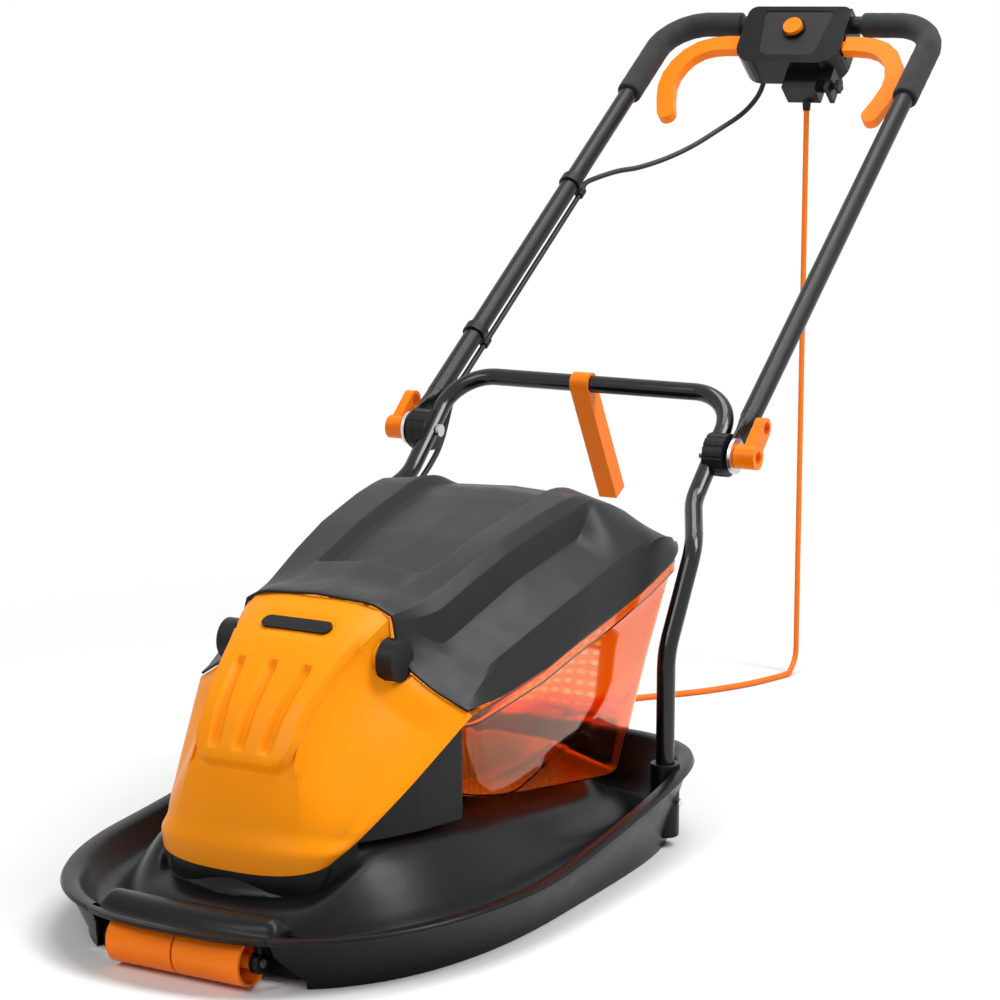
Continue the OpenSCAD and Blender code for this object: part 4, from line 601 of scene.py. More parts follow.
def box_rows():
    """Rings from the raised floor out to the foot, up the walls and round the rim."""
    def foot(y):
        return max(BOX_FOOT_LEVEL - BOX_FOOT_FALL * (y - BOX_FOOT_FRONT), BOX_FOOT_LEAST)

    def crease(y):
        return max(foot(y) + CREASE_LEAST, CREASE_LEVEL + CREASE_RISE * (y - CREASE_FRONT))

    # Each ring: half width, front, rear, corner radius and level
    rings = ((BOX_FLOOR_HALF, 304, 520, 20, lambda y: BOX_FLOOR),
             (142, 292, 562, 20, lambda y: foot(y) + 0.5),
             (149, 287, 568, 22, lambda y: foot(y) + 3),
             (165, 274, 602, 20, crease),
             (168.5, 255, 640, 18, lambda y: lip_level(y) - 16),
             (172.5, 251, 645, 20, lambda y: lip_level(y) - 13.5),
             (172.8, 250.5, 645.5, 20, lambda y: lip_level(y) - 1),
             (168.5, 255, 641, 17, lambda y: lip_level(y) - 1))
    return [[(x * lip_share(y), y, level(y)) for x, y in box_corner_plan(*plan)] for *plan, level in rings]


def finer(rows):
    """Rows with more rows between them, most of all on tall walls."""
    out = []
    for a, b in zip(rows, rows[1:]):
        n = BOX_TALL_STEPS if max(abs(p[2] - q[2]) for p, q in zip(a, b)) > BOX_TALL else BOX_LOW_STEPS
        out += [[tuple(blend_value(u, v, s / n) for u, v in zip(p, q)) for p, q in zip(a, b)] for s in range(n)]
    return out + [rows[-1]]


def close_floor(box):
    """Fills the raised floor inside the first ring."""
    only(box)
    bpy.ops.object.mode_set(mode="EDIT")
    bpy.ops.mesh.select_mode(type="EDGE")
    bpy.ops.mesh.select_all(action="DESELECT")
    bpy.ops.object.mode_set(mode="OBJECT")
    half = (BOX_FLOOR_HALF + 0.5) / 1000
    for edge in box.data.edges:
        ends = [box.data.vertices[v].co for v in edge.vertices]
        edge.select = all(abs(p.z - BOX_FLOOR / 1000) < MERGE_DISTANCE and abs(p.x) < half for p in ends)
    bpy.ops.object.mode_set(mode="EDIT")
    bpy.ops.mesh.edge_face_add()
    bpy.ops.object.mode_set(mode="OBJECT")


def slot_cutters():
    bpy.ops.mesh.primitive_cube_add(size=1)
    slots = bpy.context.object
    slots.dimensions = SLOT_SIZE
    slots.location = at(*SLOT_FIRST)
    settled()
    for count, step in SLOT_ROWS:
        rows = slots.modifiers.new("rows", "ARRAY")
        rows.count = count
        rows.use_relative_offset = False
        rows.use_constant_offset = True
        rows.constant_offset_displace = step
        bpy.ops.object.modifier_apply(modifier="rows")
    return slots


def make_grass_box():
    box = loft("grass_box_shell", [[at(*p) for p in row] for row in finer(box_rows())], True)
    close_floor(box)
    finish_shell(box, BOX_WALL, BOX_EDGE, BOX_EDGE_ANGLE)
    cut_away(box, slot_cutters())
    take_place(box, "grass_box")


make_grass_box()

# Hood over the motor: a raised middle panel with three grooves, and wings that reach back to the lid
HOOD_WALL, HOOD_EDGE_WIDTH, HOOD_EDGE_ANGLE = 0.003, 0.0008, math.radians(30)
HOOD_FRONT, HOOD_RUN, HOOD_FOOT, HOOD_RISE, HOOD_HALF = 64, 162, 78, 213, 155
HOOD_SPINE = ((0, 0), (0.012, 0.127), (0.05, 0.291), (0.136, 0.469), (0.296, 0.648), (0.512, 0.793),
              (0.759, 0.911), (1.04, 1.015))
HOOD_EDGE = ((0.587, 0.235, 0.056), (0.645, 0.315, 0.103), (0.70, 0.407, 0.16), (0.755, 0.531, 0.23),
             (0.82, 0.685, 0.319), (0.885, 0.852, 0.418), (0.945, 1.006, 0.512), (1.0, 1.148, 0.596))
HOOD_PANEL = ((0.31,), (0.31,), (0.32,), (0.345,), (0.385,), (0.425,), (0.47,), (0.515,))
HOOD_END = 0.952
HOOD_CORNER_BACK, HOOD_CROWN = 0.035, 10
# Outward way and bulge of the wings at the foot and at the lid
WING_OUT = (Vector((0.6, -0.8, 0.1)), Vector((0.9, 0.42, 0.1)))
WING_BULGE = (0.06, -0.17)
# Powers that shape the round nose, and where it goes over to the sharp panel
NOSE_ACROSS, NOSE_BACK, NOSE_UP = 0.92, 1.25, 1.1
NOSE_FADES = (0.08, 0.5)
GROOVE_SHARES, GROOVE_ASIDE = (0.46, 0.58, 0.70), (27, 31.5, 36)
GROOVE_DEPTH, GROOVE_HALF, GROOVE_POWER = 6.0, 6.8, 1.5
# Raised panel: its height, its side edge, and its foot that curves up towards the sides
PANEL_STEP = 4
PANEL_SIDE, PANEL_SIDE_RUN = 0.99, 0.13
PANEL_FOOT, PANEL_FOOT_RUN = 0.385, 0.035
PANEL_CURVE, PANEL_CURVE_START, PANEL_CURVE_RUN, PANEL_CURVE_POWER = 0.10, 0.5, 0.45, 2.5
# Wings: how far they lie in, and where that starts and ends
WING_SINK = 6
SINK_STARTS, SINK_ENDS, SINK_EDGE = (0.1, 0.12), (0.78, 0.14), (1.75, 0.25)
# Shallow place for the badge plate
BADGE_SHARE, BADGE_REACH, BADGE_ROOM = 0.853, 29, 1.6
BADGE_EDGE = (11, 4)
# Caps and bosses on the lid's hinge line: inner end, outer end and radius
HINGE_BACK, HINGE_LEVEL, HINGE_SIDES = 212, 252, 64
CAP_ROOM, HINGE_BOSS, BOSS_EDGE = (79, 112, 20.8), (50, 79, 18), 0.003
# Short steps up and across that give the outward way
SLOPE_UP, SLOPE_ACROSS = 0.01, 0.02
# Shares across and up at which the hood is drawn
HOOD_COLUMNS = [k / 34 for k in range(33)] + [0.985, 1.0, 1.02, 1.05] + [
    1.05 + 0.95 * k / 26 for k in range(1, 27)]
HOOD_LEVELS = sorted({round(HOOD_END * k / 78, 4) for k in range(79)} | {0.39, 0.4, 0.41, 0.415})


def hood_base(u, v):
    """Point of the hood without its panel: u from the foot to the lid, v from the middle to the wing's edge."""
    spine, edge = along_table(HOOD_SPINE, u), along_table(HOOD_EDGE, u)
    half = along_table(HOOD_PANEL, u)[0] * HOOD_HALF
    y, z = HOOD_FRONT + spine[0] * HOOD_RUN, HOOD_FOOT + spine[1] * HOOD_RISE
    tip = Vector((edge[0] * HOOD_HALF, HOOD_FRONT + edge[1] * HOOD_RUN, HOOD_FOOT + edge[2] * HOOD_RISE))
    corner = Vector((half, y + (1 - u) * HOOD_CORNER_BACK * HOOD_RUN, z))
    if v <= 1:
        sharp = Vector((half * v, blend_value(y, corner.y, v * v), z + HOOD_CROWN * u * u * (1 - v ** 3)))
    else:
        out = WING_OUT[0].lerp(WING_OUT[1], u).normalized()
        bulge = HOOD_HALF * blend_value(*WING_BULGE, u * u)
        sharp = corner.lerp(tip, v - 1) + out * math.sin(math.pi * (v - 1)) * bulge
    a = math.pi / 2 * v / 2
    turn = 1 - math.cos(a)
    round_nose = Vector((tip.x * math.sin(a) ** NOSE_ACROSS, blend_value(y, tip.y, turn ** NOSE_BACK),
                         blend_value(z, tip.z, turn ** NOSE_UP)))
    return round_nose.lerp(sharp, rising(u, *NOSE_FADES))


def groove_lines():
    """Middle lines of the three grooves."""
    middle = [hood_base(u, 0) for u in GROOVE_SHARES]
    return [[p + Vector((side * x, 0, 0)) for p, x in zip(middle, GROOVE_ASIDE)] for side in (-1, 0, 1)]


def groove_depth(point, lines):
    near = GROOVE_HALF
    for line in lines:
        for p, q in zip(line, line[1:]):
            t = min(1, max(0, (point - p).dot(q - p) / (q - p).length_squared))
            near = min(near, (point - p.lerp(q, t)).length)
    return GROOVE_DEPTH * max(0, 1 - (near / GROOVE_HALF) ** 2) ** GROOVE_POWER


def hood_point(u, v, lines):
    """Point of the hood with its panel, grooves, sunk wings and the place of the badge plate."""
    side, v = (-1 if v < 0 else 1), abs(v)
    p = hood_base(u, v)
    du = hood_base(min(1, u + SLOPE_UP), v) - hood_base(max(0, u - SLOPE_UP), v)
    dv = hood_base(u, min(2, v + SLOPE_ACROSS)) - hood_base(u, max(0, v - SLOPE_ACROSS))
    out = dv.cross(du).normalized()
    foot = PANEL_FOOT + PANEL_CURVE * max(0, (v - PANEL_CURVE_START) / PANEL_CURVE_RUN) ** PANEL_CURVE_POWER
    panel = ease((PANEL_SIDE - v) / PANEL_SIDE_RUN) * rising(u, foot, PANEL_FOOT_RUN)
    sunk = (1 - panel) * rising(u, *SINK_STARTS) * (1 - rising(v, *SINK_EDGE)) * (1 - rising(u, *SINK_ENDS))
    lift = PANEL_STEP * panel - WING_SINK * sunk
    lift -= groove_depth(p, lines) * panel
    badge = hood_base(BADGE_SHARE, 0)
    aside = Vector((max(0, abs(p.x) - BADGE_REACH), p.y - badge.y, p.z - badge.z)).length
    lift -= BADGE_ROOM * (1 - rising(aside, *BADGE_EDGE))
    p = p + out * lift
    return (side * p.x, p.y, p.z)


def hinge_rod(side, inner, outer, radius):
    return rod_across(side * inner, side * outer, HINGE_BACK, HINGE_LEVEL, radius, HINGE_SIDES)


def make_hood():
    lines = groove_lines()
    columns = [-v for v in reversed(HOOD_COLUMNS[1:])] + HOOD_COLUMNS
    hood = loft("hood_shell", [[at(*hood_point(u, v, lines)) for v in columns] for u in HOOD_LEVELS], False)
    finish_shell(hood, HOOD_WALL, HOOD_EDGE_WIDTH, HOOD_EDGE_ANGLE)
    for side in (-1, 1):
        cut_away(hood, hinge_rod(side, *CAP_ROOM))
    bosses = [hinge_rod(side, *HINGE_BOSS) for side in (-1, 1)]
    for boss in bosses:
        soften(boss, BOSS_EDGE)
    add_to(hood, bosses)
    take_place(hood, "hood")


make_hood()

# Deck: a dome, a gutter round it, an upturned rim and a skirt down to the foot
DECK_WALL, DECK_EDGE, DECK_EDGE_ANGLE = 0.0028, 0.0009, math.radians(40)
DECK_MID, DECK_HALF, DECK_LONG, DECK_INSET = 318, 237, 350, 132
DECK_FRONT_POWER, DECK_REAR_POWER = 2.5, 4.4
# Each row: share of the inset, then shares of the dome, the rim and the gutter, and of the dome's fall to the rear
DECK_SHARES = (
    (1.00, 1.00, 0.00, 0.00, 0), (0.93, 0.99, 0.00, 0.00, 0.5), (0.82, 0.95, 0.00, 0.00, 0.9),
    (0.70, 0.85, 0.00, 0.00, 1), (0.58, 0.66, 0.00, 0.00, 1), (0.47, 0.36, 0.00, 0.36, 0.6),
    (0.40, 0.10, 0.00, 0.80, 0), (0.34, 0.00, 0.00, 1.00, 0), (0.26, 0.00, 0.06, 0.96, 0),
    (0.19, 0.00, 0.55, 0.35, 0), (0.125, 0.00, 0.94, 0.00, 0), (0.085, 0.00, 1.00, 0.00, 0))
DECK_SKIRT = ((0.015, 0.00, 1.00, 0.00, 0), (0.00, 0.00, 0.94, 0.00, 0), (0.055, 0.00, 0.84, 0.00, 0),
              (0.13, 0.00, 0.40, 0.00, 0))
DECK_STEPS = 160
DECK_CURVE_STEPS = 66
DECK_INNER_SHARES = (DECK_HALF / DECK_INSET, 1.6, 1.4, 1.2)
# Foot of the skirt: inset and level of each row
DECK_FOOT = ((23.5, 6), (23.5, 0), (29.5, 0), (29.5, 4))
RIM_FRONT, RIM_REAR, RIM_RISES = 52, 84, (0.35, 0.55)
DOME_TOP, DOME_FALL, DOME_FALLS = 100, 0.3, (0.3, 0.5)
GUTTER_LEVEL = 26
BLADE_BACK, FAN_CLEAR = 202, 118
# Hollow in front of the plinth: rear end and run of its wall, sides, and sloping bottom
HOLLOW_REAR, HOLLOW_RUN, HOLLOW_SIDE = 150, 22, (78, 40)
HOLLOW_LEVEL, HOLLOW_SLOPE, HOLLOW_FRONT = 46, 0.2, 37
SHAFT_HOLE = (0, BLADE_BACK, 70, 120, 16)
POCKET_WALL = ((-97, 31, 3), (97, 34, 42))
# Sockets of the handle's legs: foot, top and radius of the post and of its bore
SOCKET_ASIDE, SOCKET_BACK, SOCKET_EDGE = 200, 555, 0.0012
SOCKET_POST, SOCKET_BORE = (10, 86, 15), (22, 100, 9.7)
NOTCH_OUTLINE = ((-114, -2), (114, -2), (114, 6), (96, 34), (96, 90), (-96, 90), (-96, 34), (-114, 6))
NOTCH_FRONT, NOTCH_REAR = -60, 31
PLINTH_SHARES, PLINTH_STEPS, PLINTH_LEVELS = (0.24, 0.18, 0.12, 0.06), 12, (40, 60)
PLINTH_IN, PLINTH_RISE, PLINTH_MID = 7, 3, 190
PLINTH_WALL, PLINTH_EDGE = 0.003, 0.0008


def deck_plan(turn, inset):
    """Place on the deck's outline, drawn in by a distance."""
    c, s = math.cos(turn), math.sin(turn)
    power = 2 / (DECK_FRONT_POWER if s < 0 else DECK_REAR_POWER)
    return (math.copysign((DECK_HALF - inset) * abs(c) ** power, c),
            DECK_MID + math.copysign((DECK_LONG - inset) * abs(s) ** power, s))


def deck_level(x, y, row):
    """Height of the deck for a row of shares, with a hollow in front of the hood's plinth."""
    back = (y + DECK_LONG - DECK_MID) / (2 * DECK_LONG)
    rim = blend_value(RIM_FRONT, RIM_REAR, rising(back, *RIM_RISES))
    dome = DOME_TOP * (1 - DOME_FALL * row[4] * rising(back, *DOME_FALLS))
    level = row[1] * dome + row[2] * rim + row[3] * GUTTER_LEVEL
    if y >= HOLLOW_REAR:
        return level
    hollow = rising(math.hypot(x, y - BLADE_BACK), FAN_CLEAR, HOLLOW_RUN) * (1 - rising(abs(x), *HOLLOW_SIDE))
    return level - hollow * row[1] * max(0, level - HOLLOW_LEVEL - HOLLOW_SLOPE * (y - HOLLOW_FRONT))


def roller_notch():
    """Room for the front bar and the rollers."""
    points = [at(x, y, z) for y in (NOTCH_FRONT, NOTCH_REAR) for x, z in NOTCH_OUTLINE]
    n = len(NOTCH_OUTLINE)
    sides = [(k, (k + 1) % n, n + (k + 1) % n, n + k) for k in range(n)]
    mesh = bpy.data.meshes.new("notch")
    mesh.from_pydata(points, [], [tuple(range(n)), tuple(reversed(range(n, 2 * n)))] + sides)
    tool = add_piece("notch", mesh)
    turn_outward(tool)
    return tool


def make_plinth():
    """Wall between the deck and the foot of the hood."""
    side = [hood_base(u, 2) for u in PLINTH_SHARES]
    side += [hood_base(0, 2 - k / PLINTH_STEPS) for k in range(2 * PLINTH_STEPS)]
    outline = [(-p.x, p.y, p.z) for p in side] + [tuple(hood_base(0, 0))] + [tuple(p) for p in reversed(side)]
    rows = []
    for level in (*PLINTH_LEVELS, None):
        row = []
        for x, y, z in outline:
            away = Vector((x, y - PLINTH_MID)).normalized() * PLINTH_IN
            row.append(at(x - away.x, y - away.y, z + PLINTH_RISE if level is None else level))
        rows.append(row)
    plinth = loft("plinth", rows, False)
    finish_shell(plinth, PLINTH_WALL, PLINTH_EDGE, DECK_EDGE_ANGLE)
    return plinth


def make_socket(side):
    socket = post_at(side * SOCKET_ASIDE, SOCKET_BACK, *SOCKET_POST)
    cut_away(socket, post_at(side * SOCKET_ASIDE, SOCKET_BACK, *SOCKET_BORE))
    soften(socket, SOCKET_EDGE)
    return socket


def make_deck():
    turns = [2 * math.pi * k / DECK_STEPS for k in range(DECK_STEPS)]
    inner = [(share, 1, 0, 0, 0) for share in DECK_INNER_SHARES]
    curve = [along_table(DECK_SHARES, k / DECK_CURVE_STEPS) for k in range(DECK_CURVE_STEPS + 1)]
    rows = []
    for row in inner + curve + list(DECK_SKIRT):
        plan = [deck_plan(turn, row[0] * DECK_INSET) for turn in turns]
        rows.append([at(x, y, deck_level(x, y, row)) for x, y in plan])
    for inset, level in DECK_FOOT:
        rows.append([at(*deck_plan(turn, inset), level) for turn in turns])
    deck = loft("deck_shell", rows, True)
    finish_shell(deck, DECK_WALL, DECK_EDGE, DECK_EDGE_ANGLE)
    cut_away(deck, roller_notch())
    cut_away(deck, post_at(*SHAFT_HOLE))
    add_to(deck, [make_plinth(), box_between(*POCKET_WALL), make_socket(-1), make_socket(1)])
    take_place(deck, "deck")


make_deck()

# Bar over the rollers: a lip that carries on the rim, a groove and a round bar with closed ends
BAR_WALL, BAR_EDGE, BAR_EDGE_ANGLE = 0.0028, 0.0007, math.radians(50)
# Each row: share of the way back from the rim, then share of the bar's rise
BAR_SHARES = ((0.07, -0.62), (0.0, -0.12), (0.015, 0), (0.17, 0), (0.25, -0.35), (0.34, -0.2), (0.42, 0.45),
              (0.54, 0.9), (0.68, 1), (0.82, 0.85), (0.93, 0.35), (1, -0.35))
BAR_STEPS, BAR_BEND_STEPS = 48, 44
BAR_HALF, BAR_END, BAR_END_SHARE = 95.7, 12, -0.6
BAR_LIP, BAR_RISE, BAR_REAR = 0.2, 10, 29.5
# Arms that hold the roller axle, and the boss round it
ARM_INNER, ARM_OUTER, ARM_FRONT, ARM_REAR, ARM_TOP, ARM_EDGE = 74, 82, -3, 10, 46, 0.001
AXLE_LEVEL, AXLE_BOSS, AXLE_BOSS_SIDES, AXLE_BOSS_EDGE = 24.5, 10, 48, 0.0008


def bar_point(x, row):
    """Place on the bar for a row of shares, with its round ends."""
    share, rise = row
    turn = -math.acos(min(1, (abs(x) / DECK_HALF) ** (DECK_FRONT_POWER / 2)))
    end = max(0, (abs(x) - BAR_HALF + BAR_END) / BAR_END)
    if share > BAR_LIP:
        rise = BAR_END_SHARE + (rise - BAR_END_SHARE) * math.sqrt(max(0, 1 - end * end))
    return at(x, blend_value(deck_plan(turn, 0)[1], BAR_REAR, share), RIM_FRONT + rise * BAR_RISE)


def make_front_bar():
    places = [-BAR_HALF * math.cos(math.pi * k / BAR_STEPS) for k in range(BAR_STEPS + 1)]
    bend = [along_table(BAR_SHARES, k / BAR_BEND_STEPS) for k in range(BAR_BEND_STEPS + 1)]
    bar = loft("front_bar_shell", [[bar_point(x, row) for x in places] for row in bend], False)
    finish_shell(bar, BAR_WALL, BAR_EDGE, BAR_EDGE_ANGLE)
    arms = []
    for side in (-1, 1):
        arm = box_between((side * ARM_INNER, ARM_FRONT, AXLE_LEVEL), (side * ARM_OUTER, ARM_REAR, ARM_TOP))
        soften(arm, ARM_EDGE)
        boss = rod_across(side * ARM_INNER, side * ARM_OUTER, 0, AXLE_LEVEL, AXLE_BOSS, AXLE_BOSS_SIDES)
        soften(boss, AXLE_BOSS_EDGE)
        arms += [arm, boss]
    add_to(bar, arms)
    take_place(bar, "front_bar")


make_front_bar()

# Mains lead: down from the switch box, along the floor, into its coil and on to the plug
LEAD_RADIUS = 0.0035
LEAD_PITCH = 7.9
LEAD_STEPS = 6
LEAD_TOP = (24, 1302.1, 716.9)
LEAD_HANG = (690, 620, 540, 460, 380, 300, 220, 150, 100, 60)
# Bend onto the floor: distance forward and level
LEAD_BEND = ((0, 41), (0, 33), (2, 22), (9, 12), (18, 6), (30, 3.5))
LEAD_FLOOR = ((10, 1222, 3.5), (-6, 1184, 3.5), (-34, 1136, 3.5), (-74, 1086, 3.5), (-114, 1036, 3.5),
              (-148, 985, 3.5), (-168, 940, 4), (-178, 906, 5))
LEAD_TAIL = ((-183, 846, 29), (-185, 828, 26), (-186, 812, 20), (-186, 801, 15), (-186, 793, 13), (-186, 786, 13))
COIL_MID = (-100, 862)
COIL_START = 884
COIL_INNER = 34
COIL_TURNS = 6
COIL_LAYERS = 4
COIL_OUTER = COIL_INNER + LEAD_PITCH * COIL_TURNS
COIL_BASE = 5.5
COIL_LIFT_RUN = 0.5
LOOP_STEPS = 36


def coil_point(n):
    """Place on the coil after a number of turns: inwards in one layer, outwards in the next."""
    layer = min(COIL_LAYERS - 1, int(n / COIL_TURNS))
    t = n - layer * COIL_TURNS
    r = COIL_OUTER - LEAD_PITCH * t if layer % 2 == 0 else COIL_INNER + LEAD_PITCH * t
    rise = sum(ease((n - k * COIL_TURNS) / COIL_LIFT_RUN + 0.5) for k in range(1, COIL_LAYERS))
    a = math.pi + 2 * math.pi * n
    return at(COIL_MID[0] + r * math.cos(a), COIL_MID[1] + r * math.sin(a), COIL_BASE + LEAD_PITCH * rise)


def make_lead():
    x, y, top = LEAD_TOP
    down = [at(x, y, z) for z in (top, *LEAD_HANG)] + [at(x, y - forward, z) for forward, z in LEAD_BEND]
    down += [at(*p) for p in (*LEAD_FLOOR, (COIL_MID[0] - COIL_OUTER, COIL_START, COIL_BASE))]
    coil = [coil_point(k / LOOP_STEPS) for k in range(COIL_LAYERS * COIL_TURNS * LOOP_STEPS + 1)]
    tail = [at(*p) for p in LEAD_TAIL]
    path = curve_points(down + coil[:1], LEAD_STEPS)[:-1] + coil + curve_points(coil[-1:] + tail, LEAD_STEPS)[1:]
    lead = tube("mains_lead", path, LEAD_RADIUS)
    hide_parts("mains_drop", "mains_coil")
    dress(lead, "lead_rubber")
    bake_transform(lead)


make_lead()

# Switch cable: from the switch box to the left tube, along it and down into the deck
CABLE_RADIUS = 0.0032
CABLE_ROUTE = (
    (-46, 1328.5, 765.2), (-47, 1330, 748), (-54, 1326, 729), (-67, 1311, 709), (-85.4, 1282.8, 690.2),
    (-105.1, 1247.3, 670.7), (-124.8, 1211.8, 656.2), (-144.5, 1176.3, 646.5), (-161.5, 1145.5, 642.2),
    (-177.6, 1103.6, 632), (-177.9, 1090.2, 622.5), (-178.1, 1081.2, 616.1), (-179, 1044.4, 590.1),
    (-180.2, 995.5, 555.5), (-181.4, 946.5, 520.9), (-182.3, 905.7, 492), (-183.3, 865.7, 463.7),
    (-183.5, 856.7, 457.4), (-184.5, 815.9, 428.5), (-185.1, 791.4, 411.2), (-180, 755, 362),
    (-176, 722, 338), (-180, 680, 305), (-184, 640, 255), (-184, 608, 218), (-183, 586, 185),
    (-182, 572, 145), (-181, 562, 108), (-181, 557, 72), (-179, 554, 36))
CABLE_STEPS = 8


def make_switch_cable():
    path = curve_points([at(*p) for p in CABLE_ROUTE], CABLE_STEPS)
    cable = tube("switch_cable", path, CABLE_RADIUS)
    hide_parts("switch_cable_upper", "switch_cable_lower")
    dress(cable, "cable_rubber")
    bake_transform(cable)


make_switch_cable()

# Foam grips on the upper handle
GRIP_BACK = 1342
GRIP_HEIGHT = 819
CORNER_X = 180
CORNER_BEND = 55
TUBE_START = Vector((193.744, 766.348, 411.965))
FOAM_RADIUS = 0.0155
FOAM_LOW = 146
FOAM_IN = 82
# Points on the lower straight, round the corner and on the upper straight
FOAM_STEPS = (16, 20, 8)
# Round ends of the foam: shares of the first and last step, and of the radius there
FOAM_START, FOAM_STOP = (0, 0.06, 0.15, 0.3), (0.4, 0.2, 0.08, 0)
FOAM_END_RADII = [0.86, 0.94, 0.985, 1.0]
FOAM_UNEVEN, FOAM_WAVE, FOAM_ROUNDNESS = 0.008, 1.7, 6


def foam_path(side):
    """Middle line of a grip: up the tube, round the corner and in along the bar."""
    corner = Vector((CORNER_X, GRIP_BACK, GRIP_HEIGHT))
    along = (corner - TUBE_START).normalized()
    across = Vector((-1, 0, 0))
    half = math.acos(along.dot(across)) / 2
    reach = CORNER_BEND * math.tan(half)
    start, stop = corner - along * reach, corner + across * reach
    inward = (across - along * along.dot(across)).normalized()
    centre = start + inward * CORNER_BEND
    low, end = corner - along * FOAM_LOW, Vector((FOAM_IN, GRIP_BACK, GRIP_HEIGHT))
    lower, bend, upper = FOAM_STEPS
    points = [low.lerp(start, k / lower) for k in range(lower)]
    points += [centre + CORNER_BEND * (math.sin(a) * along - math.cos(a) * inward)
               for a in (2 * half * k / bend for k in range(bend))]
    points += [stop.lerp(end, k / upper) for k in range(upper + 1)]
    return [at(side * p.x, p.y, p.z) for p in points]


def make_grip(name, side):
    path = foam_path(side)
    points = [path[0].lerp(path[1], s) for s in FOAM_START] + path[1:-1]
    points += [path[-1].lerp(path[-2], s) for s in FOAM_STOP]
    swell = [1.0 + FOAM_UNEVEN * math.sin(k * FOAM_WAVE) for k in range(len(path) - 2)]
    grip = tube(name, points, FOAM_RADIUS, FOAM_END_RADII + swell + FOAM_END_RADII[::-1], FOAM_ROUNDNESS)
    take_place(grip, "foam_grip_right" if side > 0 else "foam_grip_left")


make_grip("grip_right", 1)
make_grip("grip_left", -1)

# Spring under the start button
SPRING_MID, SPRING_LOW, SPRING_HIGH = -24, -0.325, 10.325
SPRING_RADIUS, SPRING_WIRE, SPRING_TURNS = 5, 0.0006, 4
SPRING_TURN_STEPS = 28
BUTTON_ACROSS, BUTTON_ALONG = Vector((0, 0.639257, 0.768993)), Vector((0, -0.768993, 0.639257))


def spring_place(x, across, along):
    """Place measured from the middle of the handle's bar, in the button's own directions."""
    return at(*(Vector((x, GRIP_BACK, GRIP_HEIGHT)) + BUTTON_ACROSS * across + BUTTON_ALONG * along))


def make_spring():
    steps = SPRING_TURN_STEPS * SPRING_TURNS
    path = []
    for k in range(steps + 1):
        turn = 2 * math.pi * SPRING_TURNS * k / steps
        path.append(spring_place(SPRING_RADIUS * math.cos(turn), SPRING_MID + SPRING_RADIUS * math.sin(turn),
                                 blend_value(SPRING_LOW, SPRING_HIGH, k / steps)))
    spring = tube("button_coil", path, SPRING_WIRE)
    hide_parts("button_spring")
    dress(spring, "steel")
    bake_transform(spring)


make_spring()

# Floor, backdrop and light
FLOOR_SIZE, FLOOR_LEVEL = 40, -0.0005
FLOOR_COLOR, FLOOR_ROUGHNESS, FLOOR_SPECULAR = (0.93, 0.93, 0.93, 1), 0.9, 0.1
# Distance from the middle at which the shadow starts to fade, and at which it is gone
SHADOW_FADES, SHADOW_GONE = 0.7, 1.3
AMBIENT = 0.26
LIGHT_TARGET = (0, -0.2, 0.3)
# Each light: name, place, size and power
LIGHTS = (("key_light", (-0.6, -2.6, 2.6), (1.6, 1.6), 36), ("side_light", (1.9, 0.3, 2.6), (0.8, 1.8), 62),
          ("top_light", (0.1, 0.5, 3.0), (1.6, 1.6), 46))


def glow(name, place, size, power):
    """An area light that looks at the mower."""
    data = bpy.data.lights.new(name, "AREA")
    data.shape = "RECTANGLE"
    data.size, data.size_y = size
    data.energy = power
    lamp = add_piece(name, data)
    lamp.location = place
    aim(lamp, Vector(LIGHT_TARGET) - Vector(place))


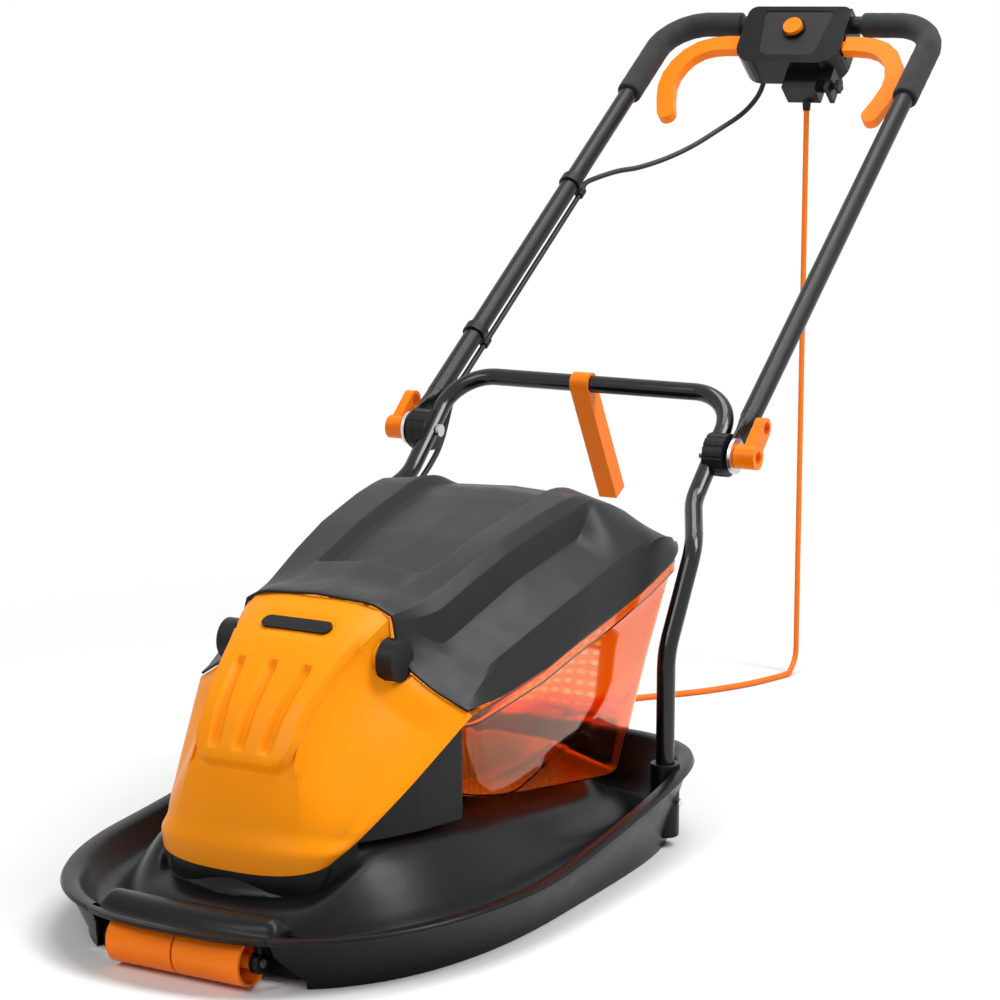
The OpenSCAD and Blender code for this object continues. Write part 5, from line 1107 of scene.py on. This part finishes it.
def background_rays(tree):
    """1 where the backdrop is seen straight, in a reflection or through glass."""
    rays = tree.nodes.new("ShaderNodeLightPath")
    return sums(tree, "MAXIMUM", rays.outputs["Is Camera Ray"],
                sums(tree, "MAXIMUM", rays.outputs["Is Glossy Ray"], rays.outputs["Is Transmission Ray"]))


def make_floor():
    """Pale paper that keeps the shadow near the mower and goes over to plain white further out."""
    bpy.ops.mesh.primitive_plane_add(size=FLOOR_SIZE, location=(0, 0, FLOOR_LEVEL))
    floor = bpy.context.object
    floor.name = "floor"
    paper = bpy.data.materials.new("pale_floor")
    paper.use_nodes = True
    tree = paper.node_tree
    shader = tree.nodes["Principled BSDF"]
    shader.inputs["Base Color"].default_value = FLOOR_COLOR
    shader.inputs["Roughness"].default_value = FLOOR_ROUGHNESS
    shader.inputs["Specular IOR Level"].default_value = FLOOR_SPECULAR
    white = tree.nodes.new("ShaderNodeEmission")
    away = tree.nodes.new("ShaderNodeVectorMath")
    away.operation = "LENGTH"
    tree.links.new(tree.nodes.new("ShaderNodeTexCoord").outputs["Object"], away.inputs[0])
    far = tree.nodes.new("ShaderNodeMapRange")
    far.interpolation_type = "SMOOTHSTEP"
    far.inputs["From Min"].default_value = SHADOW_FADES
    far.inputs["From Max"].default_value = SHADOW_GONE
    tree.links.new(away.outputs["Value"], far.inputs["Value"])
    mix = tree.nodes.new("ShaderNodeMixShader")
    tree.links.new(sums(tree, "MULTIPLY", far.outputs["Result"], background_rays(tree)), mix.inputs["Fac"])
    tree.links.new(shader.outputs["BSDF"], mix.inputs[1])
    tree.links.new(white.outputs["Emission"], mix.inputs[2])
    tree.links.new(mix.outputs["Shader"], tree.nodes["Material Output"].inputs["Surface"])
    floor.data.materials.append(paper)


def make_stage():
    make_floor()
    world = bpy.data.worlds.new("studio")
    scene.world = world
    world.use_nodes = True
    tree = world.node_tree
    back = tree.nodes["Background"]
    level = tree.nodes.new("ShaderNodeMapRange")
    tree.links.new(background_rays(tree), level.inputs["Value"])
    level.inputs["To Min"].default_value = AMBIENT
    level.inputs["To Max"].default_value = 1.0
    tree.links.new(level.outputs["Result"], back.inputs["Strength"])
    back.inputs["Color"].default_value = (1, 1, 1, 1)
    for light in LIGHTS:
        glow(*light)


make_stage()
